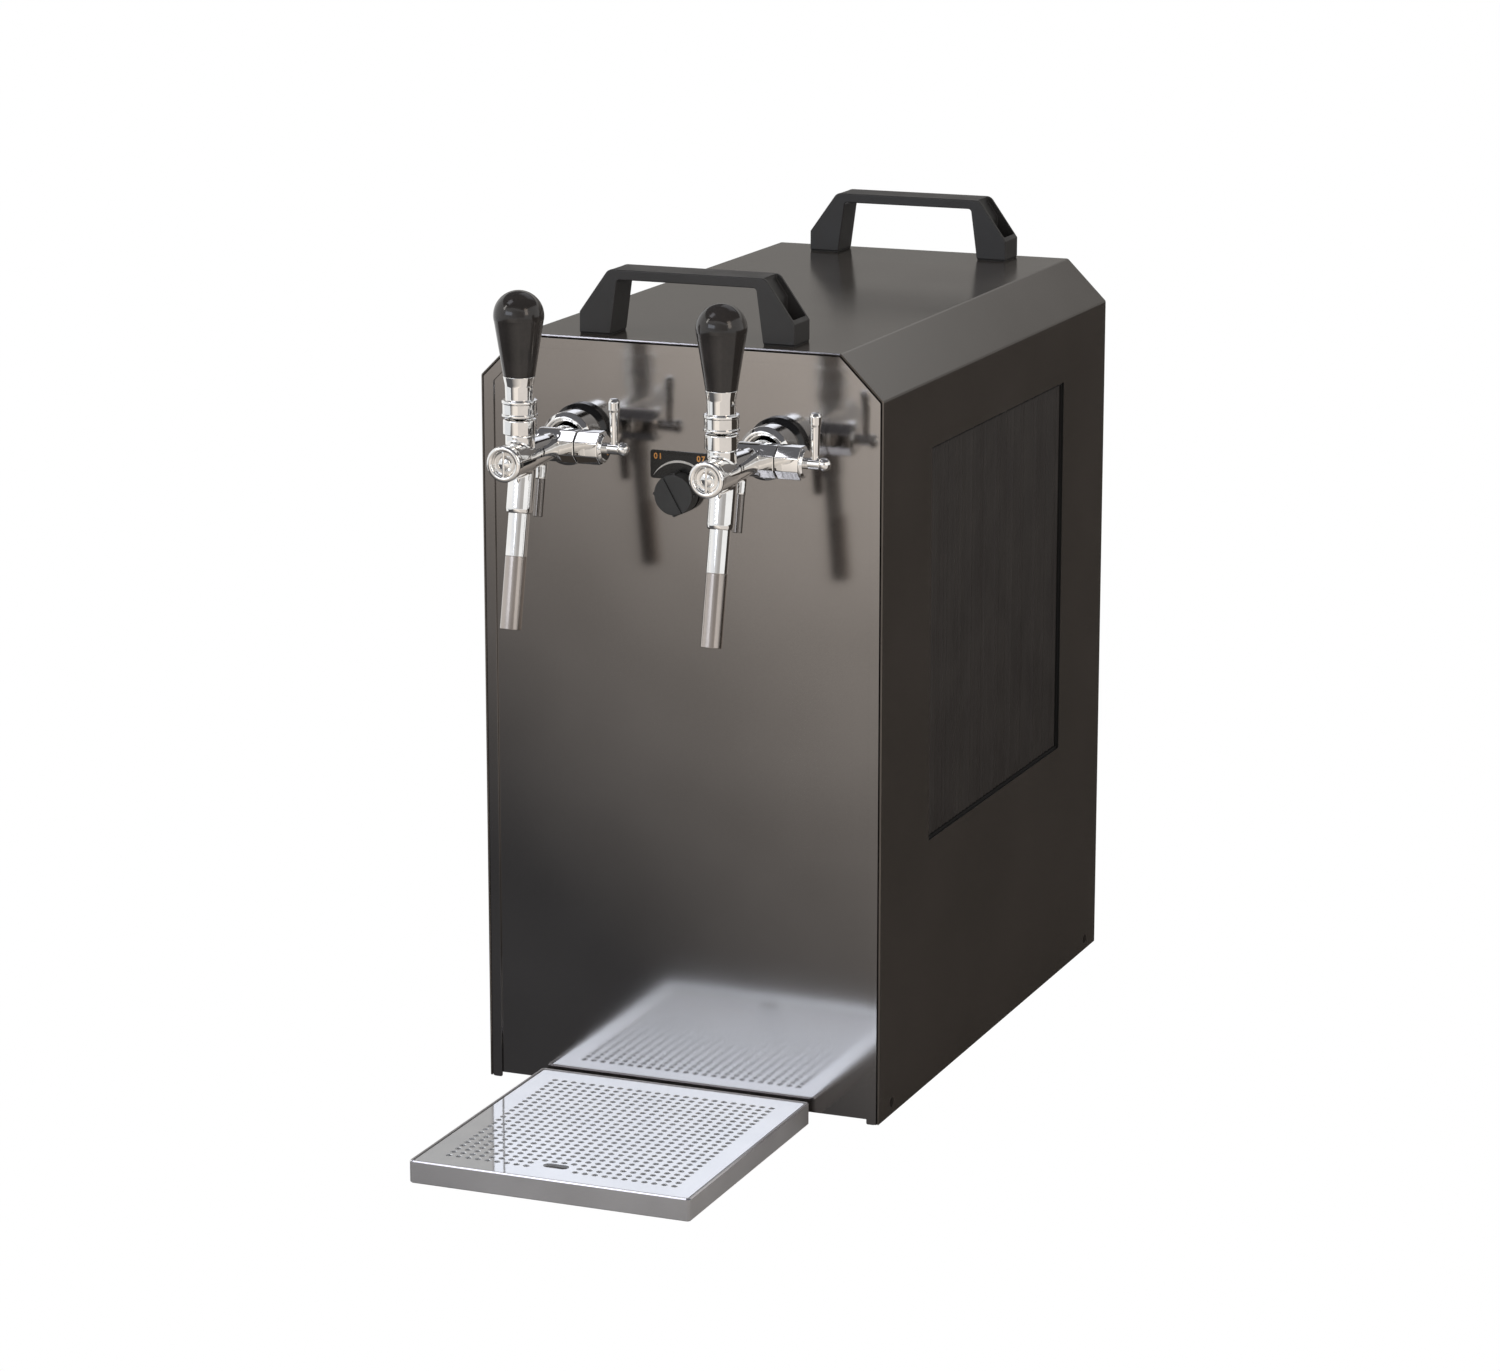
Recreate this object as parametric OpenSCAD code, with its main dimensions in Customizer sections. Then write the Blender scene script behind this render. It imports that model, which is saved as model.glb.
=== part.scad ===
// Two-tap draft beer cooler: a dry block chiller in a sheet steel casing.
// The front edge of the casing is y = 0 before place() moves it, and the
// floor is z = 0. The front faces -Y, and +X is the right side of the front.

/* [Casing] */
// Width of the casing
body_w = 290; // [280:1:330]
// Depth of the casing, from its front edge to its rear edge
body_d = 470; // [460:1:540]
// Height of the casing sheet
body_h = 526; // [515:1:580]
// Sloped corner along each upper side edge
chamfer = 30; // [20:1:36]
// Thickness of the casing sheet
sheet = 1.5; // [1.2:0.1:2]
// Height of the lower edge of the casing above the floor
lift = 4; // [3:0.5:8]
// Width of the lips that the rear panel is screwed to
rear_lip = 14; // [12:1:18]
// Depth of the rear panel inside the rear edge
rear_inset = 2.5; // [2:0.5:5]

/* [Front] */
// Visible width of the border round the front panel, casing edge included
border_w = 9; // [7:0.5:12]
// Dark joint between the casing edge and the front frame
border_joint = 0.6; // [0.4:0.1:0.8]
// Thickness of the front frame
frame_t = 1.2; // [1:0.1:2]
// Depth of the lip behind the front frame
frame_lip = 12; // [8:1:16]
// Thickness of the front and rear panels
panel_t = 1.5; // [1.2:0.1:2]
// Height of the lower edge of the front panel above the casing edge
panel_rise = 3; // [2:0.5:6]

/* [Side windows] */
// Distance from the front edge to the window
win_y = 94; // [90:1:110]
// Length of the window
win_l = 280; // [240:1:290]
// Height of the window above the lower edge of the casing
win_z = 176; // [172:1:190]
// Height of the window
win_h = 274; // [240:1:280]
// Depth of the ribs behind the outer face of the casing
win_recess = 4; // [3:0.5:6]
// Distance between two ribs
rib_pitch = 4; // [3:0.5:8]
// Width of one rib
rib_w = 1.6; // [1:0.1:2.4]
// Depth of one rib
rib_d = 3; // [2:0.5:4]

/* [Carrying handles] */
// Length of one handle across the casing
handle_l = 155; // [140:1:180]
// Height of one handle above the casing
handle_h = 44.5; // [40:0.5:60]
// Thickness of one handle from front to back
handle_d = 27.5; // [18:0.5:32]
// Height of the grip bar
grip_t = 6.8; // [5.5:0.1:10]
// Width of the foot of a leg
leg_w = 22.5; // [19:0.5:26]
// Front of the front handle behind the front edge
handle_front = 12.6; // [8:0.2:20]
// Back of the rear handle in front of the rear edge
handle_rear = 7.5; // [4:0.5:20]
// Thickness of the gasket under a leg
gasket_t = 1; // [0.6:0.1:2]

/* [Taps] */
// Distance between the two tap axes
tap_gap = 142; // [130:1:170]
// Tap axis below the top of the casing
tap_drop = 65; // [58:1:100]
// Radius of the black rosette
rosette_r = 20.6; // [19.5:0.1:23]
// Thickness of the rosette
rosette_t = 8.5; // [6:0.5:10]
// Radius of the threaded shank
shank_r = 10.5; // [9.5:0.1:11.5]
// Length of the shank behind the front edge
shank_back = 58; // [45:1:65]
// Outer radius of the coupling nut
nut_r = 18; // [17:0.1:20]
// Length of the coupling nut
nut_l = 20; // [18:0.5:24]
// Radius of the tap arm
arm_r = 9.5; // [9:0.1:10.5]
// Distance from the front edge to the lever axis
reach = 97; // [94:1:120]
// Radius of the valve barrel
barrel_r = 11.5; // [11:0.1:13]
// Length of the valve barrel
barrel_l = 35; // [34:0.5:40]
// Part of the barrel in front of the lever axis
barrel_nose = 22; // [20:0.5:26]
// Thickness of the ring on the front of the barrel
cap_t = 5; // [4:0.5:7]
// Radius of the sliding spool
spool_r = 8; // [7.6:0.1:8.4]
// Length of the spool
spool_l = 22; // [20:0.5:23]

/* [Spouts] */
// Forward lean of the spout
spout_lean = 11.8; // [5:0.2:15]
// Height of the spout tip above the floor
spout_z = 354; // [330:1:370]
// Outer radius of the spout
spout_r = 7; // [5.8:0.1:7.6]
// Bore radius of the spout
spout_bore = 5; // [4:0.1:5.2]
// Radius of the socket that holds the spout
socket_r = 8.9; // [8.2:0.1:9.5]
// Length of the socket below the tap axis
socket_l = 36; // [30:0.5:40]
// Length of the steel tip
tip_l = 48; // [30:1:55]
// Radius of the vent tube
vent_r = 3.2; // [2.8:0.1:4]
// Distance from the vent tube to the lever axis
vent_back = 34; // [31:0.5:38]
// Height of the open end of the vent tube below the tap axis
vent_drop = 44; // [30:1:60]

/* [Flow compensators] */
// Distance from the front edge to the compensator axis
comp_y = 45; // [43:1:50]
// Radius of the cross barrel
comp_r = 11.7; // [11.2:0.1:13]
// Length of the cross barrel beside the tap axis
comp_l = 19; // [18:0.5:24]
// Length of the gland nut
gland_l = 18.5; // [14:0.5:22]
// Radius of the stem
stem_r = 3.8; // [3.2:0.1:4.5]
// Height of the lever pin above the stem axis
pin_h = 33.5; // [24:0.5:40]

/* [Tap levers] */
// Height of the ball joint above the tap axis
pivot_h = 19; // [18.5:0.5:22]
// Radius of the ball
ball_r = 8; // [7.6:0.1:8.2]
// Radius of the bonnet nut
bonnet_r = 11; // [10.6:0.1:12]
// Radius of the lever sleeve
sleeve_r = 11.4; // [11.3:0.1:13]
// Height of the lever sleeve
sleeve_h = 11; // [9:0.5:14]
// Height of the cone between sleeve and knob
cone_h = 15.5; // [10:0.5:20]
// Radius of the cone under the knob
cone_r = 10.6; // [9:0.1:12]
// Greatest radius of the knob
knob_r = 16.6; // [14:0.1:20]
// Height of the knob
knob_h = 56; // [45:1:70]
// Swing of the lever that the bonnet nut leaves room for
swing = 25; // [15:1:25]

/* [Thermostat] */
// Knob axis below the top of the casing
dial_drop = 100.5; // [96:0.5:130]
// Radius of the thermostat knob
dial_r = 14; // [12:0.5:18]
// Thickness of the thermostat knob
dial_t = 11; // [8:0.5:14]
// Lean of the pointer groove from upright
dial_lean = 30; // [0:5:60]
// Width of the dial plate
plate_w = 42; // [36:1:60]
// Height of the dial plate
plate_h = 19; // [16:1:24]
// Lower edge of the dial plate above the knob axis
plate_up = 8.5; // [7:0.5:14]

/* [Drip tray] */
// Width of the tray
tray_w = 200; // [160:1:240]
// Depth of the tray
tray_d = 209.5; // [160:0.5:240]
// Height of the tray
tray_h = 15.5; // [13:0.5:30]
// Gap between the tray and the front edge of the casing
tray_gap = 2.5; // [1:0.5:30]
// Shift of the tray to the left of the middle
tray_left = 4; // [0:1:20]
// Wall of the tray
tray_wall = 2; // [1.5:0.1:3]
// Thickness of the grille
grille_t = 2; // [1:0.5:3]
// Distance between two holes
hole_pitch = 7; // [6:0.5:12]
// Radius of one hole
hole_r = 2.1; // [1.5:0.1:2.4]
// Plain border of the grille
hole_border = 11; // [8:1:20]
// Length of the finger slot
slot_l = 18; // [15:1:24]
// Width of the finger slot
slot_w = 8; // [7:0.5:12]

/* [Cold block] */
// Width of the aluminium block
block_w = 122; // [100:1:126]
// Depth of the block
block_d = 110; // [90:1:112]
// Height of the block
block_h = 285; // [200:1:290]
// Thickness of the insulation round the block
foam_t = 14; // [10:1:16]
// Radius of the beverage tubes
tube_r = 4.75; // [4:0.05:4.85]
// Radius of the refrigerant pipes
pipe_r = 3.2; // [2.5:0.1:4]

/* [Cooling unit] */
// Radius of the compressor shell
comp_shell_r = 68; // [55:1:70]
// Height of the compressor shell
comp_shell_h = 143; // [110:1:144]
// Depth of the condenser
cond_d = 36; // [30:1:40]
// Distance between two condenser fins
fin_pitch = 10; // [8:1:20]
// Number of condenser tubes, an even number
cond_rows = 8; // [4:2:8]
// Radius of the fan
fan_r = 98; // [80:1:104]
// Number of fan blades
blade_count = 5; // [3:1:7]
// Pitch of the fan blades
blade_pitch = 28; // [20:1:32]
// Radius of the fan motor
motor_r = 28; // [24:1:34]
// Length of the fan motor
motor_l = 32; // [24:1:36]

/* [Rear connections] */
// Height of the connections above the lower edge of the casing
inlet_z = 236; // [220:1:280]
// Distance from the middle to the nearer beverage inlet
inlet_x = 60; // [50:1:70]
// Distance between the two beverage inlets
inlet_gap = 40; // [32:1:44]
// Radius of the push-in bore
push_r = 4.85; // [4.85:0.05:5]
// Travel of the release collet
collet_travel = 1.5; // [1:0.1:1.5]
// Distance from the middle to the power inlet
power_x = 40; // [30:1:60]

/* [Fits] */
// Gap at seated pieces
clear = 0.3; // [0.2:0.05:0.4]
// Gap at running fits
run = 0.05; // [0.03:0.01:0.08]

/* [Hidden] */
$fn = 48;
bot = lift;
top = lift + body_h;
tap_z = top - tap_drop;
dial_z = top - dial_drop;
frame_in = sheet + border_joint;
panel_in = frame_in + frame_t + clear;
panel_y = frame_t + clear;
panel_back = panel_y + panel_t;
panel_z = bot + panel_rise;
rear_y = body_d - rear_inset - panel_t;
lip_y = rear_y - clear - sheet;
base_z = bot + 1;
base_top = base_z + sheet;
base_w = body_w - 2 * (sheet + clear);
base_front = frame_lip + clear;
base_back = lip_y - clear;
base_wall = 16;

// Screws
screw_r = 2;
screw_z = bot + 9;
screw_in = 25;
screw_head = 3.3;
screw_l = 10;
rear_screw_in = 8;
rear_head_r = 3.6;
rear_head_t = 2;

// Air slots of the rear panel
slot_rows = 8;
rear_slot_x = 45;
rear_slot_w = 60;
rear_slot_z = top - 160;

// Feet
foot_r = 9;
foot_x = body_w / 2 - 27;
foot_in = 34;
foot_stem = 3;

// Carrying handles
heel_h = 15;
slope_w = 20;
slope_h = 27;
crown_r = 6;
armpit_r = 2.5;
leg_lean = 5;
handle_seat = 8;
handle_screw_r = 2.5;
handle_head_r = 4.6;
handle_head_t = 3;
handle_tail = 7;
handle_screw_x = handle_l / 2 - leg_w / 2 + 1;
handle_y = [handle_front, body_d - handle_rear - handle_d];

// Tap, measured from the tap axis at the front edge of the casing
rosette_face = panel_y - rosette_t;
head_r = nut_r - 4;
head_l = 10;
head_face = rosette_face - head_l;
nut_back = rosette_face - 2 * clear;
nut_face = nut_back - nut_l;
nut_mouth = arm_r + 2.7;
nut_wall = 6;
shank_nut_r = 17;
shank_nut_t = 8;
flange_t = nut_l - head_l - nut_wall + clear;
barrel_front = -reach - barrel_nose;
barrel_back = barrel_front + barrel_l;
flow_r = 4.5;
spool_bore = spool_r + run;
spool_front = -reach - spool_l * 0.68;
spool_back = spool_front + spool_l;
valve_back = barrel_back + 2;
cap_plug = 2.5;
cap_hub_r = 2.2;
dish_r = barrel_r - 2.4;
port_r = 4;
neck_r = 9.3;
bonnet_low = 3;
bonnet_high = 7;
skirt_gap = 1.5;
skirt_hollow = norm([bonnet_r, bonnet_high]) + clear;
rod_r = 3;
mouth_r = bonnet_high * tan(swing) + rod_r / cos(swing) + clear;
arm_len = 14;
finger_r = 1.8;
finger_ball = 2.4;
pocket_half = 3.3;
pocket_x = 3;
pocket_depth = spool_r - 2;
duct_r = 2.2;
duct_z = -2.8;
pour_r = 2.8;
foam_r = 0.8;
knob_low = pivot_h + bonnet_high + skirt_gap + sleeve_h + cone_h;
stud_r = 4;
stud_l = 16;
bead_r = sleeve_r + 0.4;

// Spout, running down from a point on the lever axis side of the barrel
spout_y = -reach + 2;
spout_top = 15;
spout_root = 8;
spout_end = (tap_z - spout_z - spout_top) / cos(spout_lean);
socket_end = (socket_l - spout_top) / cos(spout_lean);
spout_start = socket_end - 13;
tip_start = spout_end - tip_l;
tip_spigot = 8;
vent_bore = 2.2;
vent_root = 6.5;

// Compensator
comp_end = 0.6;
plug_r = 6;
plug_in = 6;
spigot_r = 8;
spigot_l = 4;
gland_x = comp_l + 0.5;
stem_out = 12;
stem_knob = 4.5;
pin_x = gland_x + gland_l + 6;
pin_low = 2.5;
pin_top = 3.9;

// Thermostat
shaft_r = 3;
bush_r = 5;
shaft_end = panel_back + 16;
switch_w = 36;
switch_h = 44;
switch_d = 28;
knob_face_t = 3;
groove_w = 1.6;
groove_d = 1.2;
plate_t = 1;
plate_y = panel_y - plate_t;
knob_back = plate_y - clear;
nib = 0.8;

// Drip tray
tray_x = -tray_left;
tray_back = -tray_gap;
tray_front = tray_back - tray_d;
tray_r = 3;
ledge_w = 4;
grille_top = tray_h - 0.5;
grille_low = grille_top - grille_t;
grille_gap = 0.8;
grille_w = tray_w - 2 * (tray_wall + grille_gap);
grille_d = tray_d - 2 * (tray_wall + grille_gap);
hole_cols = floor((grille_w - 2 * hole_border) / hole_pitch);
hole_rows = floor((grille_d - 2 * hole_border) / hole_pitch);
slot_in = 24;
slot_y = tray_front + tray_wall + grille_gap + slot_in;
slot_x = tray_x - 6;

// Cooling unit
grille_back = body_w / 2 - win_recess - rib_d;
cond_x = grille_back - 2 - cond_d;
cond_low = bot + win_z + 2;
cond_h = win_h - 4;
cond_mid_y = win_y + win_l / 2;
cond_mid_z = bot + win_z + win_h / 2;
fin_t = 0.8;
fin_count = floor((win_l - 8) / fin_pitch);
cond_tube_r = 4;
row_gap = cond_h / cond_rows;
row_low = cond_low + row_gap / 2;
row_high = row_low + (cond_rows - 1) * row_gap;
row_x = cond_x + cond_d / 2;
tube_front = win_y - 2;
tube_back = win_y + win_l + 2;
shroud_d = 14;
shroud_x = cond_x - clear - shroud_d;
shroud_hole = fan_r + 5;
leg_d = 16;
fan_x = shroud_x - 2;
hub_r = 18;
hub_l = 20;
blade_w = 48;
blade_t = 1.6;
motor_face = fan_x - 16;
motor_back = motor_face - motor_l;
arm_back = motor_back + 6;
arm_w = 10;
post_r = 4;
post_at = min(win_l, win_h) * 0.43;
comp_side = 105;
comp_behind = 95;
comp_cx = cond_x - comp_side;
comp_cy = body_d - comp_behind;
comp_feet_z = base_top + 17.5;
comp_feet_x = 68;
comp_feet_y = 50;
comp_feet_t = 3;
comp_plate_w = 28;
term_out = 16;
term_up = 8;
plate_over = 11;
seam_w = 4;
seam_out = 3;
dome_low = 18;
dome_high = 26;
term_w = 40;
grommet_r = 9;
grommet_neck = 4.8;
grommet_top_r = 7;
shell_low = comp_feet_z + comp_feet_t;
shell_high = shell_low + comp_shell_h;
drier_r = 10;
drier_l = 100;
drier_taper = 10;
drier_x = comp_cx + comp_shell_r;
drier_back = 28;
drier_up = 24;
drier_y = comp_cy + drier_back;
drier_z = row_low + drier_up;

// Cold block
foam_x = -body_w / 2 + sheet + 12;
foam_y = 42;
block_x = foam_x + foam_t;
block_y = foam_y + foam_t;
foam_low = base_top;
block_low = foam_low + foam_t;
block_top = block_low + block_h;
foam_top = block_top + foam_t;
run_up = 28;
run_z = foam_top + run_up;
line_out = 22;
line_back = 10;
bend_room = 14;
turn_room = 44;
liquid_up = 24;
suction_up = 40;
line_room = 20;
cross_z = tap_z - 66;
line_y = block_y + 28;
in_y = block_y + 82;
line_step = 8;
line_at = [block_x + 20, block_x + block_w - 16];
back_line_at = [block_x + 14, block_x + 48];
cold_at = [[block_x + block_w - 48, in_y - 16], [block_x + block_w - 20, in_y]];

// Rear connections
in_z = bot + inlet_z;
fit_r = 9;
fit_flange = 13;
fit_flange_t = 3.5;
fit_nut_r = 14;
fit_nut_t = 6;
fit_flow_r = 3.5;
fit_in = 27;
fit_out = 8.5;
rear_face = body_d - rear_inset;
fit_end = rear_face + fit_out;
fit_inner = rear_face - fit_in;
bore_l = 26;
collet_r = 6.3;
collet_l = 8;
collet_seat = 10;
collet_rim = 7.5;
collet_rim_t = 2;
collet_end = fit_end + collet_travel + 2 * clear + collet_rim_t;
power_w = 27;
power_h = 20;
power_d = 22;
power_flange = 2;
socket_w = 24;
socket_h = 16;
socket_d = 19;
blade_l = 11;

// Middle of everything from tray front to collet end
y_shift = -(tray_front + collet_end) / 2;

// Points of an arc of radius r that rounds the corner p1 between p0 and p2
function unit(v) = v / norm(v);
function arc(v0, v1, s) = let (f = acos(max(-1, min(1, unit(v0) * unit(v1)))))
    (sin((1 - s) * f) * v0 + sin(s * f) * v1) / sin(f);
function fillet(p0, p1, p2, r, n = 6) = let (
    a = unit(p0 - p1),
    b = unit(p2 - p1),
    half = acos(a * b) / 2,
    c = p1 + unit(a + b) * r / sin(half),
    t = r / tan(half))
    [for (i = [0:n]) c + arc(p1 + a * t - c, p1 + b * t - c, i / n)];
function rounded(pts, radii) = let (n = len(pts))
    [for (i = [0:n - 1])
        each radii[i] == 0 ? [pts[i]]
            : fillet(pts[(i + n - 1) % n], pts[i], pts[(i + 1) % n], radii[i])];
function box_points(w, d, cx, cy) =
    [[cx - w / 2, cy - d / 2], [cx + w / 2, cy - d / 2],
     [cx + w / 2, cy + d / 2], [cx - w / 2, cy + d / 2]];

// Everything is drawn from the front edge of the casing and moved here
module place() {
    translate([0, y_shift, 0]) children();
}

// Cross-section of the casing, drawn inset by k and cut off at height z0
module outline(k, z0) {
    lean = k * tan(22.5);
    half = body_w / 2 - k;
    slope = body_w / 2 - chamfer - lean;
    polygon([[-half, z0], [-half, top - chamfer - lean], [-slope, top - k],
        [slope, top - k], [half, top - chamfer - lean], [half, z0]]);
}

// A flat shape in x and z that is as thick as l and starts at y0
module slab(y0, l) {
    translate([0, y0 + l, 0]) rotate([90, 0, 0]) linear_extrude(l) children();
}

module rod_x(x0, x1, r, y = 0, z = 0) {
    translate([x0, y, z]) rotate([0, 90, 0]) cylinder(h = x1 - x0, r = r);
}

module rod_y(y0, y1, r, x = 0, z = 0) {
    translate([x, y0, z]) rotate([-90, 0, 0]) cylinder(h = y1 - y0, r = r);
}

module rod_z(z0, z1, r, x = 0, y = 0) {
    translate([x, y, z0]) cylinder(h = z1 - z0, r = r);
}

// A straight piece of pipe from a to b
module leg(a, b, r) {
    d = b - a;
    translate(a) rotate([0, acos(d[2] / norm(d)), atan2(d[1], d[0])])
        cylinder(h = norm(d), r = r);
}

// A pipe along a list of points, with a ball at each bend
module pipe(pts, r) {
    for (i = [0:len(pts) - 2]) leg(pts[i], pts[i + 1], r);
    for (i = [1:len(pts) - 2]) translate(pts[i]) sphere(r = r);
}

module at_tap(side) {
    translate([side * tap_gap / 2, 0, tap_z]) children();
}

// Direction down the spout, starting on the barrel
module at_spout() {
    translate([0, spout_y, -spout_top]) rotate([180 - spout_lean, 0, 0]) children();
}

module at_handle_screws() {
    for (y = handle_y, s = [-1, 1])
        translate([s * handle_screw_x, y + handle_d / 2, top]) children();
}

module at_feet() {
    for (s = [-1, 1], y = [foot_in, body_d - foot_in]) translate([s * foot_x, y, 0]) children();
}

module at_compressor_feet() {
    for (x = [-1, 1], y = [-1, 1])
        translate([comp_cx + x * comp_feet_x, comp_cy + y * comp_feet_y, 0]) children();
}

// Countersunk screw pointing inwards, made larger by g for its hole
module side_screw(g = 0) {
    cylinder(h = sheet, r1 = screw_head + g, r2 = screw_r + g);
    cylinder(h = screw_l, r = screw_r + g);
}

module at_side_screws() {
    for (s = [-1, 1], y = [screw_in, body_d - screw_in])
        translate([s * body_w / 2, y, screw_z]) rotate([0, -s * 90, 0]) children();
}

module at_rear_screws() {
    for (s = [-1, 1], z = [0.08, 0.5, 0.9])
        translate([s * (body_w / 2 - rear_screw_in), rear_face, bot + z * body_h]) children();
}

// Bent steel wrap with two sloped corners, open at the bottom
module casing() place() color("#3b3734") difference() {
    union() {
        slab(0, body_d) difference() {
            outline(0, bot);
            outline(sheet, bot - 1);
        }
        slab(lip_y, sheet) difference() {
            outline(0, bot);
            outline(rear_lip, bot - 1);
        }
    }
    for (s = [-1, 1])
        translate([s * body_w / 2, cond_mid_y, cond_mid_z])
            cube([4 * sheet, win_l, win_h], center = true);
    at_side_screws() side_screw(run);
    at_rear_screws() rod_y(-3 * rear_inset - 3 * sheet, 1, screw_r + run);
    at_handle_screws() rod_z(-2 * sheet, 1, handle_screw_r + clear);
}

// Border of the front, with a lip that runs back inside the casing
module front_frame() place() color("#6e6a66") {
    slab(0, frame_t) difference() {
        outline(frame_in, bot);
        outline(border_w, bot - 1);
    }
    slab(0, frame_lip) difference() {
        outline(frame_in, bot);
        outline(frame_in + frame_t, bot - 1);
    }
}

// Polished steel front, folded back along its lower edge
module front_panel() place() color("#7d7772") difference() {
    union() {
        slab(panel_y, panel_t) outline(panel_in, panel_z);
        translate([-body_w / 2 + panel_in, panel_y, panel_z])
            cube([body_w - 2 * panel_in, frame_lip - panel_y, panel_t]);
    }
    for (s = [-1, 1]) at_tap(s) rod_y(0, 2 * panel_back, shank_r + clear);
    rod_y(0, 2 * panel_back, bush_r + clear, 0, dial_z);
}

// Rear cover with air slots and holes for the connections
module rear_panel() place() color("#45413e") difference() {
    slab(rear_y, panel_t) outline(sheet + clear, panel_z);
    for (i = [0:slot_rows - 1], s = [-1, 1])
        translate([s * rear_slot_x - rear_slot_w / 2, rear_y - 1, rear_slot_z + i * 12])
            cube([rear_slot_w, panel_t + 2, 4]);
    for (i = [0, 1])
        rod_y(rear_y - 1, body_d, fit_r + clear, -inlet_x - i * inlet_gap, in_z);
    translate([power_x - power_w / 2 - clear, rear_y - 1, in_z - power_h / 2 - clear])
        cube([power_w + 2 * clear, panel_t + 2, power_h + 2 * clear]);
    at_rear_screws() rod_y(-3 * panel_t, 1, screw_r + run);
}

// Bottom pan with a wall along each side
module base_plate() place() color("#8a8a88") difference() {
    union() {
        translate([-base_w / 2, base_front, base_z])
            cube([base_w, base_back - base_front, sheet]);
        for (s = [-1, 1])
            translate([s * (base_w - sheet) / 2, (base_front + base_back) / 2,
                base_z + base_wall / 2])
                cube([sheet, base_back - base_front, base_wall], center = true);
    }
    at_side_screws() side_screw(run);
    at_feet() rod_z(0, 2 * base_top, foot_stem + run);
    at_compressor_feet() rod_z(0, 2 * base_top, screw_r + clear);
}

// Four rubber feet, each with a stem through the base plate
module feet() place() color("#1d1c1b") at_feet() {
    cylinder(h = base_z, r1 = foot_r - 1, r2 = foot_r);
    rod_z(0, base_top + 3, foot_stem);
}

// Four countersunk side screws and six pan-head rear screws
module casing_screws() place() color("#2b2928") {
    at_side_screws() side_screw();
    at_rear_screws() {
        rod_y(0, rear_head_t, rear_head_r);
        rod_y(-screw_l, rear_head_t, screw_r);
    }
}

// One bridge handle with a screw pocket over each leg
module handle(y) place() color("#363534") difference() {
    half = handle_l / 2;
    low = top + gasket_t;
    high = top + handle_h;
    inner = half - leg_w;
    slab(y, handle_d) polygon(rounded([
        [-half, low], [-half, low + heel_h - gasket_t],
        [-half + slope_w + (high - low - heel_h - slope_h) * slope_w / slope_h, high],
        [half - slope_w - (high - low - heel_h - slope_h) * slope_w / slope_h, high],
        [half, low + heel_h - gasket_t], [half, low],
        [inner, low], [inner - leg_lean, high - grip_t],
        [-inner + leg_lean, high - grip_t], [-inner, low]],
        [0, 3, crown_r, crown_r, 3, 0, 0, armpit_r, armpit_r, 0]));
    for (s = [-1, 1]) translate([s * handle_screw_x, y + handle_d / 2, low]) {
        rod_z(-1, handle_h, handle_screw_r + clear);
        rod_z(handle_seat, handle_h, handle_head_r + clear);
    }
}

// Thin pads between the legs and the casing
module handle_gaskets() place() color("#191817") for (y = handle_y, s = [-1, 1])
    difference() {
        translate([s * (handle_l / 2 - leg_w / 2), y + handle_d / 2, top + gasket_t / 2])
            cube([leg_w - 1, handle_d - 1, gasket_t], center = true);
        translate([s * handle_screw_x, y + handle_d / 2, top])
            rod_z(-1, 3, handle_screw_r + clear);
    }

// Four handle screws, each with its nut inside the casing
module handle_screws() place() color("#4a4a49") at_handle_screws() {
    rod_z(-sheet - handle_tail, gasket_t + handle_seat + handle_head_t, handle_screw_r);
    rod_z(gasket_t + handle_seat, gasket_t + handle_seat + handle_head_t, handle_head_r);
    translate([0, 0, -sheet - 4]) cylinder(h = 4, r = handle_head_r, $fn = 6);
}

// Ribbed insert of a side window, held behind the casing wall
module side_grille(side) place() color("#232120") {
    rib_count = floor((win_l - 4 * rib_w) / rib_pitch);
    first = cond_mid_y - (rib_count - 1) * rib_pitch / 2;
    mid_x = side * (grille_back + rib_d / 2);
    edge_x = body_w / 2 - sheet;
    difference() {
        union() {
            translate([side * (edge_x - 0.6), cond_mid_y, cond_mid_z])
                cube([1.2, win_l + 10, win_h + 10], center = true);
            translate([side * (grille_back + edge_x) / 2, cond_mid_y, cond_mid_z])
                cube([edge_x - grille_back, win_l - 2 * clear, win_h - 2 * clear],
                    center = true);
        }
        translate([side * body_w / 2, cond_mid_y, cond_mid_z])
            cube([60, win_l - 2 * clear - 3, win_h - 2 * clear - 3], center = true);
    }
    for (i = [0:rib_count - 1])
        translate([mid_x, first + i * rib_pitch, cond_mid_z])
            cube([rib_d, rib_w, win_h - 2 * clear - 1], center = true);
}

// Black ring between the front panel and the tap
module rosette(side) place() color("#1b1a19") at_tap(side) rotate([90, 0, 0])
    rotate_extrude() polygon(rounded([
        [shank_r + clear, -panel_y], [rosette_r, -panel_y],
        [rosette_r, rosette_t - panel_y - 3], [rosette_r - 3, rosette_t - panel_y],
        [shank_r + clear, rosette_t - panel_y]], [0, 0, 1.5, 1.5, 0]));

// Threaded tube through the panel, with a wide head that takes the nut
module shank(side) place() color("#b9b9b8") at_tap(side) difference() {
    union() {
        rod_y(head_face, rosette_face, head_r);
        rod_y(head_face, shank_back, shank_r);
    }
    rod_y(head_face - 1, shank_back + 1, tube_r + 0.2);
}

// Hexagon nuts that clamp the shanks from inside
module shank_nuts() place() color("#a8a8a6") for (s = [-1, 1]) at_tap(s) difference() {
    translate([0, panel_back, 0]) rotate([-90, 0, 0])
        cylinder(h = shank_nut_t, r = shank_nut_r, $fn = 6);
    rod_y(0, panel_back + shank_nut_t + 1, shank_r + run);
}

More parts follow.
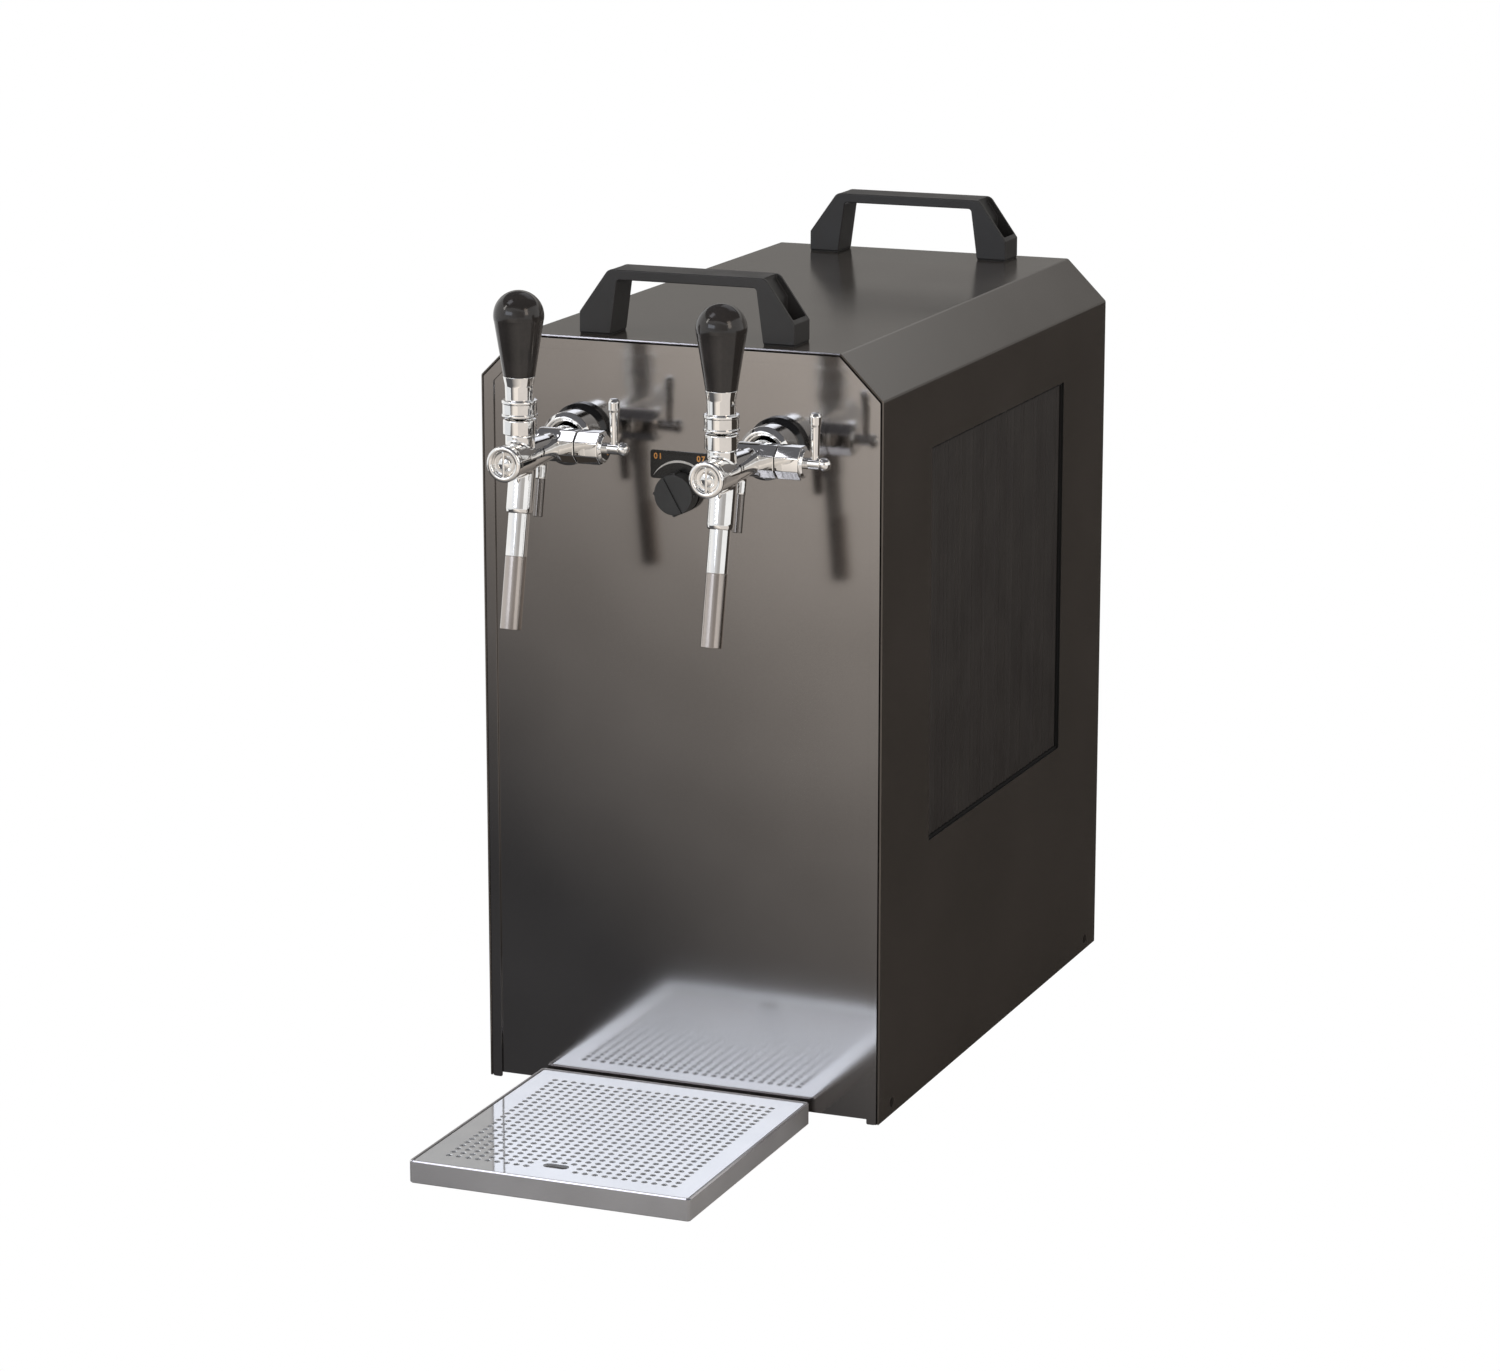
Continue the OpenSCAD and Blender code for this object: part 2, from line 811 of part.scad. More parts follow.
// Round nut that pulls the tap onto the shank
module coupling_nut(side) place() color("#d9d9d9") at_tap(side) difference() {
    rod_y(nut_face, nut_back, nut_r);
    rod_y(nut_face + nut_wall, nut_back + 1, head_r + run);
    rod_y(nut_face - 1, nut_back, nut_mouth);
}

// Room that the lever finger swings in, seen from above
module finger_room(z0, z1) {
    for (y = [3.2, -1.2]) rod_z(z0, z1, 5, 0, -reach + y);
    translate([-5, -reach - 1.2, z0]) cube([10, 4.4, z1 - z0]);
}

// Arm, cross barrel, valve barrel, neck and spout socket in one casting
module tap_body(side) place() color("#dcdcdc") at_tap(side) difference() {
    union() {
        rod_y(head_face - flange_t, head_face, head_r - clear);
        rod_y(barrel_back - 1, head_face, arm_r);
        rod_y(barrel_front, barrel_back, barrel_r);
        rod_x(-arm_r - comp_end, comp_l, comp_r, -comp_y);
        rod_z(0, pivot_h - bonnet_low, neck_r, 0, -reach);
        rod_z(0, pivot_h, ball_r + 1, 0, -reach);
        at_spout() translate([0, 0, -spout_root]) cylinder(h = spout_root + socket_end, r = socket_r);
    }
    rod_y(barrel_front - 1, valve_back, spool_bore);
    rod_y(valve_back - 1, head_face + 1, flow_r);
    rod_x(-plug_in, comp_l + 1, plug_r + run, -comp_y);
    rod_x(comp_l - spigot_l - clear, comp_l + 1, spigot_r + run, -comp_y);
    translate([0, -reach, pivot_h]) sphere(r = ball_r + run);
    finger_room(0, pivot_h - ball_r / 2);
    at_spout() {
        translate([0, 0, -spout_root]) cylinder(h = spout_root + socket_end, r = port_r);
        translate([0, 0, spout_start]) cylinder(h = 60, r = spout_r + run);
    }
    vent(vent_r + run, vent_r + run + 1);
}

// Vent tube outline, from inside the arm wall down to its open end
module vent(r, more = 0) {
    l = (vent_drop - vent_root) / cos(spout_lean);
    translate([0, -reach + vent_back, -vent_root]) rotate([180 - spout_lean, 0, 0])
        cylinder(h = l + more, r = r);
}

// Nuts that hold the lever balls down
module bonnet_nuts() place() color("#d9d9d9") for (s = [-1, 1]) at_tap(s)
    translate([0, -reach, pivot_h]) difference() {
        rod_z(-bonnet_low, bonnet_high, bonnet_r);
        rod_z(-bonnet_low - 1, clear, ball_r + 1 + run);
        sphere(r = ball_r + run);
        rod_z(0, bonnet_high + 1, mouth_r);
    }

// Dished ring that closes the front of the barrel
module tap_cap(side) place() color("#dedede") at_tap(side) {
    difference() {
        rod_y(barrel_front - cap_t, barrel_front, barrel_r + 0.5);
        rod_y(barrel_front - cap_t - 1, barrel_front - cap_t / 2, dish_r);
    }
    rod_y(barrel_front - cap_t + 0.8, barrel_front, cap_hub_r);
    rod_y(barrel_front - 1, barrel_front + cap_plug, spool_r);
}

// Upper, polished part of the spout
module spout(side) place() color("#d7d7d7") at_tap(side) at_spout() difference() {
    translate([0, 0, spout_start]) cylinder(h = tip_start - spout_start, r = spout_r);
    translate([0, 0, spout_start - 1]) cylinder(h = tip_start, r = spout_bore);
}

// Lower, brushed part of each spout
module spout_tips() place() color("#a5a5a3") for (s = [-1, 1]) at_tap(s) at_spout()
    difference() {
        union() {
            translate([0, 0, tip_start]) cylinder(h = tip_l, r = spout_r);
            translate([0, 0, tip_start - tip_spigot])
                cylinder(h = tip_spigot + 1, r = spout_bore - run);
        }
        translate([0, 0, tip_start - tip_spigot - 1])
            cylinder(h = tip_l + 20, r = spout_bore - 1);
        translate([0, 0, tip_start + 2]) cylinder(h = tip_l, r = spout_bore);
    }

// Open tubes behind the spouts
module vent_tubes() place() color("#cfcfcf") for (s = [-1, 1]) at_tap(s) difference() {
    vent(vent_r);
    translate([0, 0, -1]) vent(vent_bore, 5);
}

// Gland nut that closes the cross barrel round the stem
module gland_nut(side) place() color("#d9d9d9") at_tap(side) difference() {
    union() {
        rod_x(gland_x, gland_x + gland_l - 2, comp_r + 0.2, -comp_y);
        translate([gland_x + gland_l - 2, -comp_y, 0]) rotate([0, 90, 0])
            cylinder(h = 2, r1 = comp_r + 0.2, r2 = comp_r - 1.8);
        rod_x(comp_l - spigot_l, gland_x + 1, spigot_r, -comp_y);
    }
    rod_x(0, gland_x + gland_l + 1, stem_r + run, -comp_y);
}

// Flow plug, stem and upright lever pin, all of one turned piece
module compensator(side) place() color("#d4d4d4") at_tap(side)
    translate([0, -comp_y, 0]) {
        difference() {
            rod_x(-plug_in + 1, comp_l - spigot_l - clear, plug_r);
            rod_y(-comp_r, comp_r, port_r);
        }
        rod_x(comp_l - spigot_l - 2, gland_x + gland_l + stem_out, stem_r);
        translate([gland_x + gland_l + stem_out, 0, 0]) sphere(r = stem_knob);
        translate([pin_x, 0, 0]) cylinder(h = pin_h - pin_top, r1 = pin_low, r2 = pin_top);
        translate([pin_x, 0, pin_h - pin_top]) sphere(r = pin_top);
    }

// Ball, lower finger, hollow sleeve and cone of a tap lever
module tap_lever(side) place() color("#dadada") at_tap(side)
    translate([0, -reach, pivot_h]) {
        low = bonnet_high + skirt_gap;
        mid = low + sleeve_h;
        high = mid + cone_h;
        sphere(r = ball_r);
        rod_z(0, low + sleeve_h - 1, rod_r);
        rod_z(-arm_len, 0, finger_r);
        translate([0, 0, -arm_len]) sphere(r = finger_ball);
        difference() {
            union() {
                rod_z(low, mid, sleeve_r);
                rod_z(low, low + 1.8, bead_r);
                translate([0, 0, mid - 0.5])
                    cylinder(h = cone_h + 0.5, r1 = cone_r - 2.3, r2 = cone_r);
                rod_z(high - 1, high + stud_l, stud_r);
            }
            difference() {
                sphere(r = skirt_hollow);
                rod_z(0, mid, rod_r);
            }
        }
    }

// Pear-shaped knob screwed on the lever stud
module tap_knob(side) place() color("#262422") at_tap(side)
    translate([0, -reach, knob_low]) difference() {
        dome = knob_h - knob_r;
        foot = cone_r - 0.3;
        tilt = asin((knob_r - foot) / dome);
        union() {
            cylinder(h = dome - knob_r * sin(tilt), r1 = foot, r2 = knob_r * cos(tilt));
            translate([0, 0, dome]) sphere(r = knob_r);
        }
        rod_z(-1, stud_l + 1, stud_r + run);
    }

// Spool that the lever finger pushes along the barrel
module tap_spool(side) place() color("#c9c6b8") at_tap(side) difference() {
    rod_y(spool_front, spool_back, spool_r);
    translate([-pocket_x, -reach - pocket_half, spool_r - pocket_depth])
        cube([2 * pocket_x, 2 * pocket_half, 2 * spool_r]);
    rod_y(-reach - arm_len / 2, spool_back + 1, duct_r, 0, duct_z);
    rod_z(-2 * spool_r, duct_z, pour_r, 0, -reach - 6.2);
    rod_z(-2 * spool_r, duct_z, foam_r, 0, -reach + 5.8);
}

// Round knob with a pointer groove and four side nibs
module thermostat_knob() place() color("#3b3b3a") translate([0, 0, dial_z]) difference() {
    union() {
        rod_y(knob_back - dial_t, knob_back, dial_r);
        for (a = [0:90:270]) rotate([0, a, 0])
            translate([-1, knob_back - dial_t + 1.5, dial_r - 1]) cube([2, dial_t - 1.5, 1 + nib]);
    }
    rotate([0, -dial_lean, 0])
        translate([-groove_w / 2, knob_back - dial_t - 1, -dial_r - 3])
            cube([groove_w, groove_d + 1, 2 * dial_r + 6]);
    rod_y(knob_back - dial_t + knob_face_t, knob_back + 1, shaft_r + run);
}

// Shaft that the knob turns
module thermostat_shaft() place() color("#b5b5b2") translate([0, 0, dial_z])
    rod_y(knob_back - dial_t + knob_face_t, shaft_end, shaft_r);

// Switch body behind the front panel, with its threaded bush
module thermostat() place() color("#b9b6ad") translate([0, 0, dial_z]) difference() {
    union() {
        translate([-switch_w / 2, panel_back + clear, -switch_h / 2])
            cube([switch_w, switch_d, switch_h]);
        rod_y(plate_y + clear, panel_back + 5, bush_r);
    }
    rod_y(-1, shaft_end + 1, shaft_r + run);
}

// Thin black plate behind the thermostat knob
module dial_plate() place() color("#161514") translate([0, 0, dial_z]) difference() {
    slab(plate_y, plate_t) polygon(rounded(
        box_points(plate_w, plate_h, 0, plate_up + plate_h / 2), [4, 4, 1, 1]));
    rod_y(-1, panel_y + 1, bush_r + 2 * clear);
}

// Open tray with a ledge that the grille lies on
module drip_tray() place() color("#8b8783") {
    mid = tray_front + tray_d / 2;
    difference() {
        linear_extrude(tray_h)
            polygon(rounded(box_points(tray_w, tray_d, tray_x, mid), [for (i = [0:3]) tray_r]));
        translate([0, 0, tray_wall]) linear_extrude(tray_h)
            polygon(rounded(box_points(tray_w - 2 * tray_wall - 2 * ledge_w,
                tray_d - 2 * tray_wall - 2 * ledge_w, tray_x, mid), [2, 2, 2, 2]));
        translate([0, 0, grille_low]) linear_extrude(tray_h)
            polygon(box_points(tray_w - 2 * tray_wall, tray_d - 2 * tray_wall, tray_x, mid));
    }
}

// Perforated sheet with a finger slot near its front edge
module drip_grille() place() color("#c4c4c3") {
    mid = tray_front + tray_d / 2;
    x0 = tray_x - (hole_cols - 1) * hole_pitch / 2;
    y0 = mid - (hole_rows - 1) * hole_pitch / 2;
    keep_x = slot_l / 2 + hole_r + 1.5;
    keep_y = slot_w / 2 + hole_r + 1.5;
    translate([0, 0, grille_low]) difference() {
        linear_extrude(grille_t)
            polygon(rounded(box_points(grille_w, grille_d, tray_x, mid), [2, 2, 2, 2]));
        for (i = [0:hole_cols - 1], j = [0:hole_rows - 1])
            if (abs(x0 + i * hole_pitch - slot_x) > keep_x
                || abs(y0 + j * hole_pitch - slot_y) > keep_y)
                translate([x0 + i * hole_pitch, y0 + j * hole_pitch, -1])
                    cylinder(h = grille_t + 2, r = hole_r);
        for (s = [-1, 1])
            translate([slot_x + s * (slot_l - slot_w) / 2, slot_y, -1])
                cylinder(h = grille_t + 2, r = slot_w / 2);
        translate([slot_x - (slot_l - slot_w) / 2, slot_y - slot_w / 2, -1])
            cube([slot_l - slot_w, slot_w, grille_t + 2]);
    }
}

// Hermetic compressor with foot plates and a terminal box
module compressor() place() color("#1f1f20") translate([comp_cx, comp_cy, 0]) {
    r = comp_shell_r;
    mid = (shell_low + shell_high) / 2;
    rotate_extrude() polygon(rounded([
        [0, shell_low - 1], [r * 0.6, shell_low - 1], [r, shell_low + dome_low],
        [r, shell_high - dome_high], [r * 0.55, shell_high], [0, shell_high]],
        [0, 10, 16, 22, 20, 0]));
    rod_z(mid - seam_w / 2, mid + seam_w / 2, r + seam_out);
    difference() {
        for (s = [-1, 1])
            translate([0, s * comp_feet_y, comp_feet_z + comp_feet_t / 2])
                cube([2 * (comp_feet_x + plate_over), comp_plate_w, comp_feet_t], center = true);
        for (x = [-1, 1], y = [-1, 1])
            rod_z(comp_feet_z - 1, shell_low + 1, grommet_neck + clear,
                x * comp_feet_x, y * comp_feet_y);
    }
    translate([-r - term_out, -term_w / 2, mid + term_up])
        cube([term_out + term_up, term_w, term_w]);
}

// Four rubber grommets with their bolts
module compressor_mounts() place() color("#26231f") at_compressor_feet() {
    rod_z(base_top, comp_feet_z, grommet_r);
    rod_z(base_top, shell_low + 4, grommet_neck);
    rod_z(shell_low + clear, shell_low + 4, grommet_top_r);
    rod_z(base_z - 2, base_top + 1, screw_r);
}

// Finned heat exchanger behind the right window
module condenser() place() color("#a9a9a7") {
    fin_first = cond_mid_y - (fin_count - 1) * fin_pitch / 2;
    for (i = [0:fin_count - 1])
        translate([row_x, fin_first + i * fin_pitch, cond_mid_z])
            cube([cond_d, i == 0 || i == fin_count - 1 ? 2 * fin_t : fin_t, cond_h],
                center = true);
    for (i = [0:cond_rows - 1])
        rod_y(tube_front, tube_back, cond_tube_r, row_x, row_low + i * row_gap);
    for (i = [0:cond_rows - 2])
        translate([row_x, i % 2 == 0 ? tube_front : tube_back, row_low + (i + 0.5) * row_gap])
            rotate([0, 90, 0]) rotate([0, 0, i % 2 == 0 ? 180 : 0])
                rotate_extrude(angle = 180) translate([row_gap / 2, 0]) circle(r = cond_tube_r);
}

// Sheet duct between condenser and fan, standing on two legs
module fan_shroud() place() color("#7f7f7d") difference() {
    union() {
        difference() {
            translate([shroud_x, win_y + 1, cond_low])
                cube([shroud_d, win_l - 2, cond_h]);
            translate([shroud_x + sheet, win_y + 1 + sheet, cond_low + sheet])
                cube([shroud_d, win_l - 2 - 2 * sheet, cond_h - 2 * sheet]);
        }
        for (y = [win_y + 1, win_y + win_l - 1 - leg_d])
            translate([shroud_x, y, base_top]) cube([sheet, leg_d, cond_low - base_top + 1]);
    }
    rod_x(shroud_x - 1, shroud_x + sheet + 1, shroud_hole, cond_mid_y, cond_mid_z);
}

// Hub, shaft and pitched blades of the fan
module fan_blades() place() color("#3c3c3e") translate([fan_x, cond_mid_y, cond_mid_z]) {
    blade_l0 = hub_r - 2;
    rod_x(-hub_l / 2, hub_l / 2, hub_r);
    rod_x(motor_face - motor_l / 2 + 2 - fan_x, 0, shaft_r);
    for (i = [0:blade_count - 1]) rotate([i * 360 / blade_count, 0, 0])
        translate([0, 0, (blade_l0 + fan_r) / 2]) rotate([0, 0, blade_pitch])
            cube([blade_t, blade_w, fan_r - blade_l0], center = true);
}

// Fan motor with four arms that reach the shroud
module fan_motor() place() color("#2c2c2e") translate([0, cond_mid_y, cond_mid_z])
    difference() {
        union() {
            rod_x(motor_back, motor_face, motor_r);
            for (a = [45:90:315]) rotate([a, 0, 0]) {
                translate([arm_back, -arm_w / 2, motor_r - 4])
                    cube([4, arm_w, post_at - motor_r + 4 + post_r]);
                rod_x(arm_back, shroud_x - clear, post_r, 0, post_at);
            }
        }
        rod_x(motor_face - motor_l / 2, motor_face + 1, shaft_r + run);
    }

// Upright copper drier in the liquid line
module filter_drier() place() color("#b87333") translate([drier_x, drier_y, drier_z])
    rotate_extrude() polygon(rounded([
        [0, 0], [pipe_r + 1, 0], [drier_r, drier_taper], [drier_r, drier_l - drier_taper],
        [pipe_r + 1, drier_l], [0, drier_l]], [0, 0, 4, 4, 0, 0]));

// Discharge, liquid and suction pipes
module refrigerant_lines() place() color("#b4714a") {
    out_x = comp_cx + line_out;
    back_x = comp_cx - line_back;
    low_z = shell_high + bend_room;
    turn_y = tube_back + turn_room;
    liquid_z = run_z + liquid_up;
    suction_z = run_z + suction_up;
    pipe([[out_x, comp_cy, shell_high], [out_x, comp_cy, low_z],
        [out_x, turn_y, low_z], [row_x, turn_y, low_z],
        [row_x, turn_y, row_high], [row_x, tube_back, row_high]], pipe_r);
    pipe([[row_x, tube_back, row_low], [row_x, drier_y, row_low],
        [drier_x, drier_y, row_low], [drier_x, drier_y, drier_z]], pipe_r);
    pipe([[drier_x, drier_y, drier_z + drier_l], [drier_x, drier_y, liquid_z],
        [cold_at[0][0], drier_y, liquid_z], [cold_at[0][0], cold_at[0][1], liquid_z],
        [cold_at[0][0], cold_at[0][1], block_top]], pipe_r);
    pipe([[cold_at[1][0], cold_at[1][1], block_top],
        [cold_at[1][0], cold_at[1][1], suction_z], [cold_at[1][0], comp_cy, suction_z],
        [back_x, comp_cy, suction_z], [back_x, comp_cy, shell_high]], pipe_r);
}

// Aluminium block that the beverage and refrigerant coils are cast in
module cooling_block() place() color("#b3b5b6")
    translate([block_x, block_y, block_low]) cube([block_w, block_d, block_h]);

// Foam shell round the block, with holes for the pipes
module block_insulation() place() color("#e2dfd4") difference() {
    translate([foam_x, foam_y, foam_low])
        cube([block_w + 2 * foam_t, block_d + 2 * foam_t, block_h + 2 * foam_t]);
    translate([block_x - clear, block_y - clear, block_low])
        cube([block_w + 2 * clear, block_d + 2 * clear, block_h + clear]);
    for (p = cold_at) rod_z(block_top, foam_top + 1, pipe_r + clear, p[0], p[1]);
    for (x = line_at) rod_z(block_top, foam_top + 1, tube_r + clear, x, line_y);
    for (x = back_line_at) rod_z(block_top, foam_top + 1, tube_r + clear, x, in_y);
}

// Steel tubes from the rear inlets to the block and on to the shanks
module beverage_lines() place() color("#bdbdbb") {
    for (i = [0, 1]) {
        x = -inlet_x - (1 - i) * inlet_gap;
        y = comp_cy - comp_shell_r - line_room;
        pipe([[x, fit_inner, in_z], [x, y, in_z], [x, y, run_z],
            [back_line_at[i], y, run_z], [back_line_at[i], in_y, run_z],
            [back_line_at[i], in_y, block_top]], tube_r);
    }
    for (i = [0, 1]) {
        tap_x = (i - 0.5) * tap_gap;
        pipe([[line_at[i], line_y, block_top], [line_at[i], line_y, cross_z],
            [tap_x, line_y, cross_z], [tap_x, line_y, tap_z],
            [tap_x, shank_back - line_step, tap_z]], tube_r);
    }
}

// Bulkhead fittings of the two beverage inlets
module inlet_fittings() place() color("#d9d9d4") for (i = [0, 1])
    translate([-inlet_x - i * inlet_gap, 0, in_z]) difference() {
        union() {
            rod_y(fit_inner, fit_end, fit_r);
            rod_y(rear_face, rear_face + fit_flange_t, fit_flange);
            translate([0, rear_y - fit_nut_t, 0]) rotate([-90, 0, 0])
                cylinder(h = fit_nut_t, r = fit_nut_r, $fn = 6);
        }
        rod_y(fit_inner - 1, fit_end + 1, fit_flow_r);
        rod_y(fit_end - bore_l, fit_end + 1, push_r);
        rod_y(fit_end - collet_seat, fit_end + 1, collet_r + run);
    }

// Release collet that grips the tube
module inlet_collet(i) place() color("#35383b")
    translate([-inlet_x - i * inlet_gap, 0, in_z]) difference() {
        union() {
            rod_y(fit_end - collet_l, collet_end, collet_r);
            rod_y(collet_end - collet_rim_t, collet_end, collet_rim);
        }
        rod_y(fit_end - collet_l - 1, collet_end + 1, push_r + run);
    }

// Appliance inlet with three flat pins
module power_inlet() place() color("#1c1c1c") translate([power_x, 0, in_z]) {
    difference() {
        union() {
            translate([-power_w / 2, rear_face - power_d, -power_h / 2])
                cube([power_w, power_d, power_h]);
            translate([-power_w / 2 - 10, rear_face, -power_h / 2 - 2])
                cube([power_w + 20, power_flange, power_h + 4]);
        }
        translate([-socket_w / 2, rear_face + power_flange - socket_d, -socket_h / 2])
            cube([socket_w, socket_d + 1, socket_h]);
    }
    for (p = [[-7, -2], [0, 2], [7, -2]])
        translate([p[0] - 1, rear_face + power_flange - socket_d - 1, p[1] - 2])
            cube([2, blade_l + 1, 4]);
}

casing();
front_frame();
front_panel();
rear_panel();
base_plate();
feet();
casing_screws();
handle(handle_y[0]);  // front_handle
handle(handle_y[1]);  // rear_handle
handle_gaskets();
handle_screws();
side_grille(-1);  // left_grille
side_grille(1);  // right_grille
rosette(-1);  // left_rosette
rosette(1);  // right_rosette
shank(-1);  // left_shank
shank(1);  // right_shank
shank_nuts();
coupling_nut(-1);  // left_coupling_nut
coupling_nut(1);  // right_coupling_nut
tap_body(-1);  // left_tap_body
tap_body(1);  // right_tap_body
bonnet_nuts();
tap_cap(-1);  // left_tap_cap
tap_cap(1);  // right_tap_cap
spout(-1);  // left_spout
spout(1);  // right_spout
spout_tips();
vent_tubes();
gland_nut(-1);  // left_gland_nut
gland_nut(1);  // right_gland_nut
compensator(-1);  // left_compensator
compensator(1);  // right_compensator
tap_lever(-1);  // left_tap_lever
tap_lever(1);  // right_tap_lever
tap_knob(-1);  // left_tap_knob
tap_knob(1);  // right_tap_knob
tap_spool(-1);  // left_tap_spool
tap_spool(1);  // right_tap_spool
thermostat_knob();
thermostat_shaft();
thermostat();
dial_plate();
drip_tray();
drip_grille();
compressor();
compressor_mounts();
condenser();
fan_shroud();
fan_blades();
fan_motor();
filter_drier();
refrigerant_lines();
cooling_block();
block_insulation();
beverage_lines();
inlet_fittings();
inlet_collet(1);  // left_inlet_collet
inlet_collet(0);  // right_inlet_collet
power_inlet();
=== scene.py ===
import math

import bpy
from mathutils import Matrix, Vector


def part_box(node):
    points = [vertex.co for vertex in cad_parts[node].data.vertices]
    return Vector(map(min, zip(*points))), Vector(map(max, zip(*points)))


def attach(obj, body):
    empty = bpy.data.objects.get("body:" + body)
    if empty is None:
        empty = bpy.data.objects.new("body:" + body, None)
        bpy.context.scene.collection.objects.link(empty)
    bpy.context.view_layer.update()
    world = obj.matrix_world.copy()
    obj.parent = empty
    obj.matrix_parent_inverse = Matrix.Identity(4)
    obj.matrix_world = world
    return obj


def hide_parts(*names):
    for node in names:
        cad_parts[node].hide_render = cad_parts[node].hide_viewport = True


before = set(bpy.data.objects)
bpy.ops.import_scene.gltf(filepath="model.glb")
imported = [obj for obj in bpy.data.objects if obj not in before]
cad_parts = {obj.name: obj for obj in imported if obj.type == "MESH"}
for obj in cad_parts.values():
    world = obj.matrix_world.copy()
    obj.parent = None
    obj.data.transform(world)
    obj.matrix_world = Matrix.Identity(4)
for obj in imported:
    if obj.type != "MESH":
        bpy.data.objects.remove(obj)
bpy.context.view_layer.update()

# %% [markdown]
# # A two-tap draft beer cooler
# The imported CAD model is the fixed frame: every piece below is made in its
# place, in metres, with the tools that a person uses in Blender. The cooler
# is a bent sheet-steel wrap over a chiller, with two chromed taps, a
# thermostat knob, two carrying handles and a loose drip tray.

# %% [markdown]
# All drawings of such a machine measure from the front edge of the casing
# and from the floor, in millimetres. One function turns such a measure into
# a point of the scene, so that the numbers below read like the drawing.

# %% Millimetres from the front edge of the casing
MM = 0.001
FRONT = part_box("casing")[0].y


def at(x, y, z):
    """A point given in mm from the casing's front edge and the floor."""
    return Vector((x * MM, FRONT + y * MM, z * MM))


def mm_box(node):
    """Lowest and highest corner of a CAD node in those millimetres."""
    low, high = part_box(node)
    shift = Vector((0, FRONT, 0))
    return (low - shift) / MM, (high - shift) / MM


BODY_LOW, BODY_HIGH = mm_box("casing")
HALF_W, BOT, TOP = BODY_HIGH.x, BODY_LOW.z, BODY_HIGH.z
print("casing", round(2 * HALF_W), "mm wide, top at", round(TOP), "mm")

# %% [markdown]
# ## Camera
# The photograph was taken from the right of the front and a little above,
# from far away with a long lens: the verticals hardly lean. The camera
# stands where a fit of the casing's corners puts it, with no shift.

# %% The camera
bpy.ops.object.camera_add(
    location=(1.1871, -2.91945, 1.0234),
    rotation=(math.radians(76.512), 0, math.radians(22.189)),
)
camera = bpy.context.object
camera.data.lens = 110.993
camera.data.sensor_width = 36
bpy.context.scene.camera = camera
print("camera", round((camera.location - at(0, 0, 300)).length, 2), "m away")

# %% [markdown]
# ## Colours and nodes
# Colours are written as the hex values a painter picks on a screen, and one
# function turns them to the linear values that light is reckoned in. One
# more small function adds a node with its settings and its links.


# %% Colour and node helpers
def tint(code):
    """An sRGB hex colour as linear RGBA."""
    parts = [int(code[i:i + 2], 16) / 255 for i in (1, 3, 5)]
    lin = [c / 12.92 if c <= 0.04045 else ((c + 0.055) / 1.055) ** 2.4 for c in parts]
    return (*lin, 1.0)


def add(tree, kind, inputs=(), **settings):
    """Adds a node; each input is a value to set or a socket to link."""
    made = tree.nodes.new(kind)
    for name, value in settings.items():
        setattr(made, name, value)
    for name, value in dict(inputs).items():
        if isinstance(value, bpy.types.NodeSocket):
            tree.links.new(value, made.inputs[name])
        else:
            made.inputs[name].default_value = value
    return made


def blank(name):
    """A new material with only its shader and output; returns both."""
    made = bpy.data.materials.new(name)
    made.use_nodes = True
    tree = made.node_tree
    shader = tree.nodes["Principled BSDF"]
    return made, tree, shader


# %% [markdown]
# ## Surface detail
# No real surface is one flat value. Most finishes here share two effects: a
# fine grain that the maker's process leaves (grit of the lacquer, texture of
# a mould, lay of a brush) and slow, wide changes from handling. A grain size
# is given in millimetres, and the noise scale is one over that size.


# %% Grain, drift and bump
def grain(tree, size, stretch=(1, 1, 1), detail=3.0):
    """Noise with grains of about size mm, drawn out along an axis."""
    place = add(tree, "ShaderNodeTexCoord").outputs["Object"]
    mapping = add(tree, "ShaderNodeMapping", {
        "Vector": place, "Scale": tuple(1 / s for s in stretch)})
    return add(tree, "ShaderNodeTexNoise", {
        "Vector": mapping.outputs["Vector"], "Scale": 1 / (size * MM),
        "Detail": detail, "Roughness": 0.55}).outputs["Fac"]


def spread(tree, source, low, high, start=0.35, end=0.65):
    """Maps the useful part of a noise to the range low to high."""
    return add(tree, "ShaderNodeMapRange", {
        "Value": source, "From Min": start, "From Max": end,
        "To Min": low, "To Max": high}).outputs["Result"]


def blend_colours(tree, factor, first, second):
    """Goes from one colour to the other as factor goes from 0 to 1."""
    mixed = add(tree, "ShaderNodeMix", {"Factor": factor}, data_type="RGBA")
    mixed.inputs[6].default_value = tint(first)
    mixed.inputs[7].default_value = tint(second)
    return mixed.outputs[2]


def relief(tree, source, height):
    """Bump of that height in mm from a noise."""
    return add(tree, "ShaderNodeBump", {
        "Height": source, "Distance": height * MM, "Strength": 1.0}).outputs["Normal"]


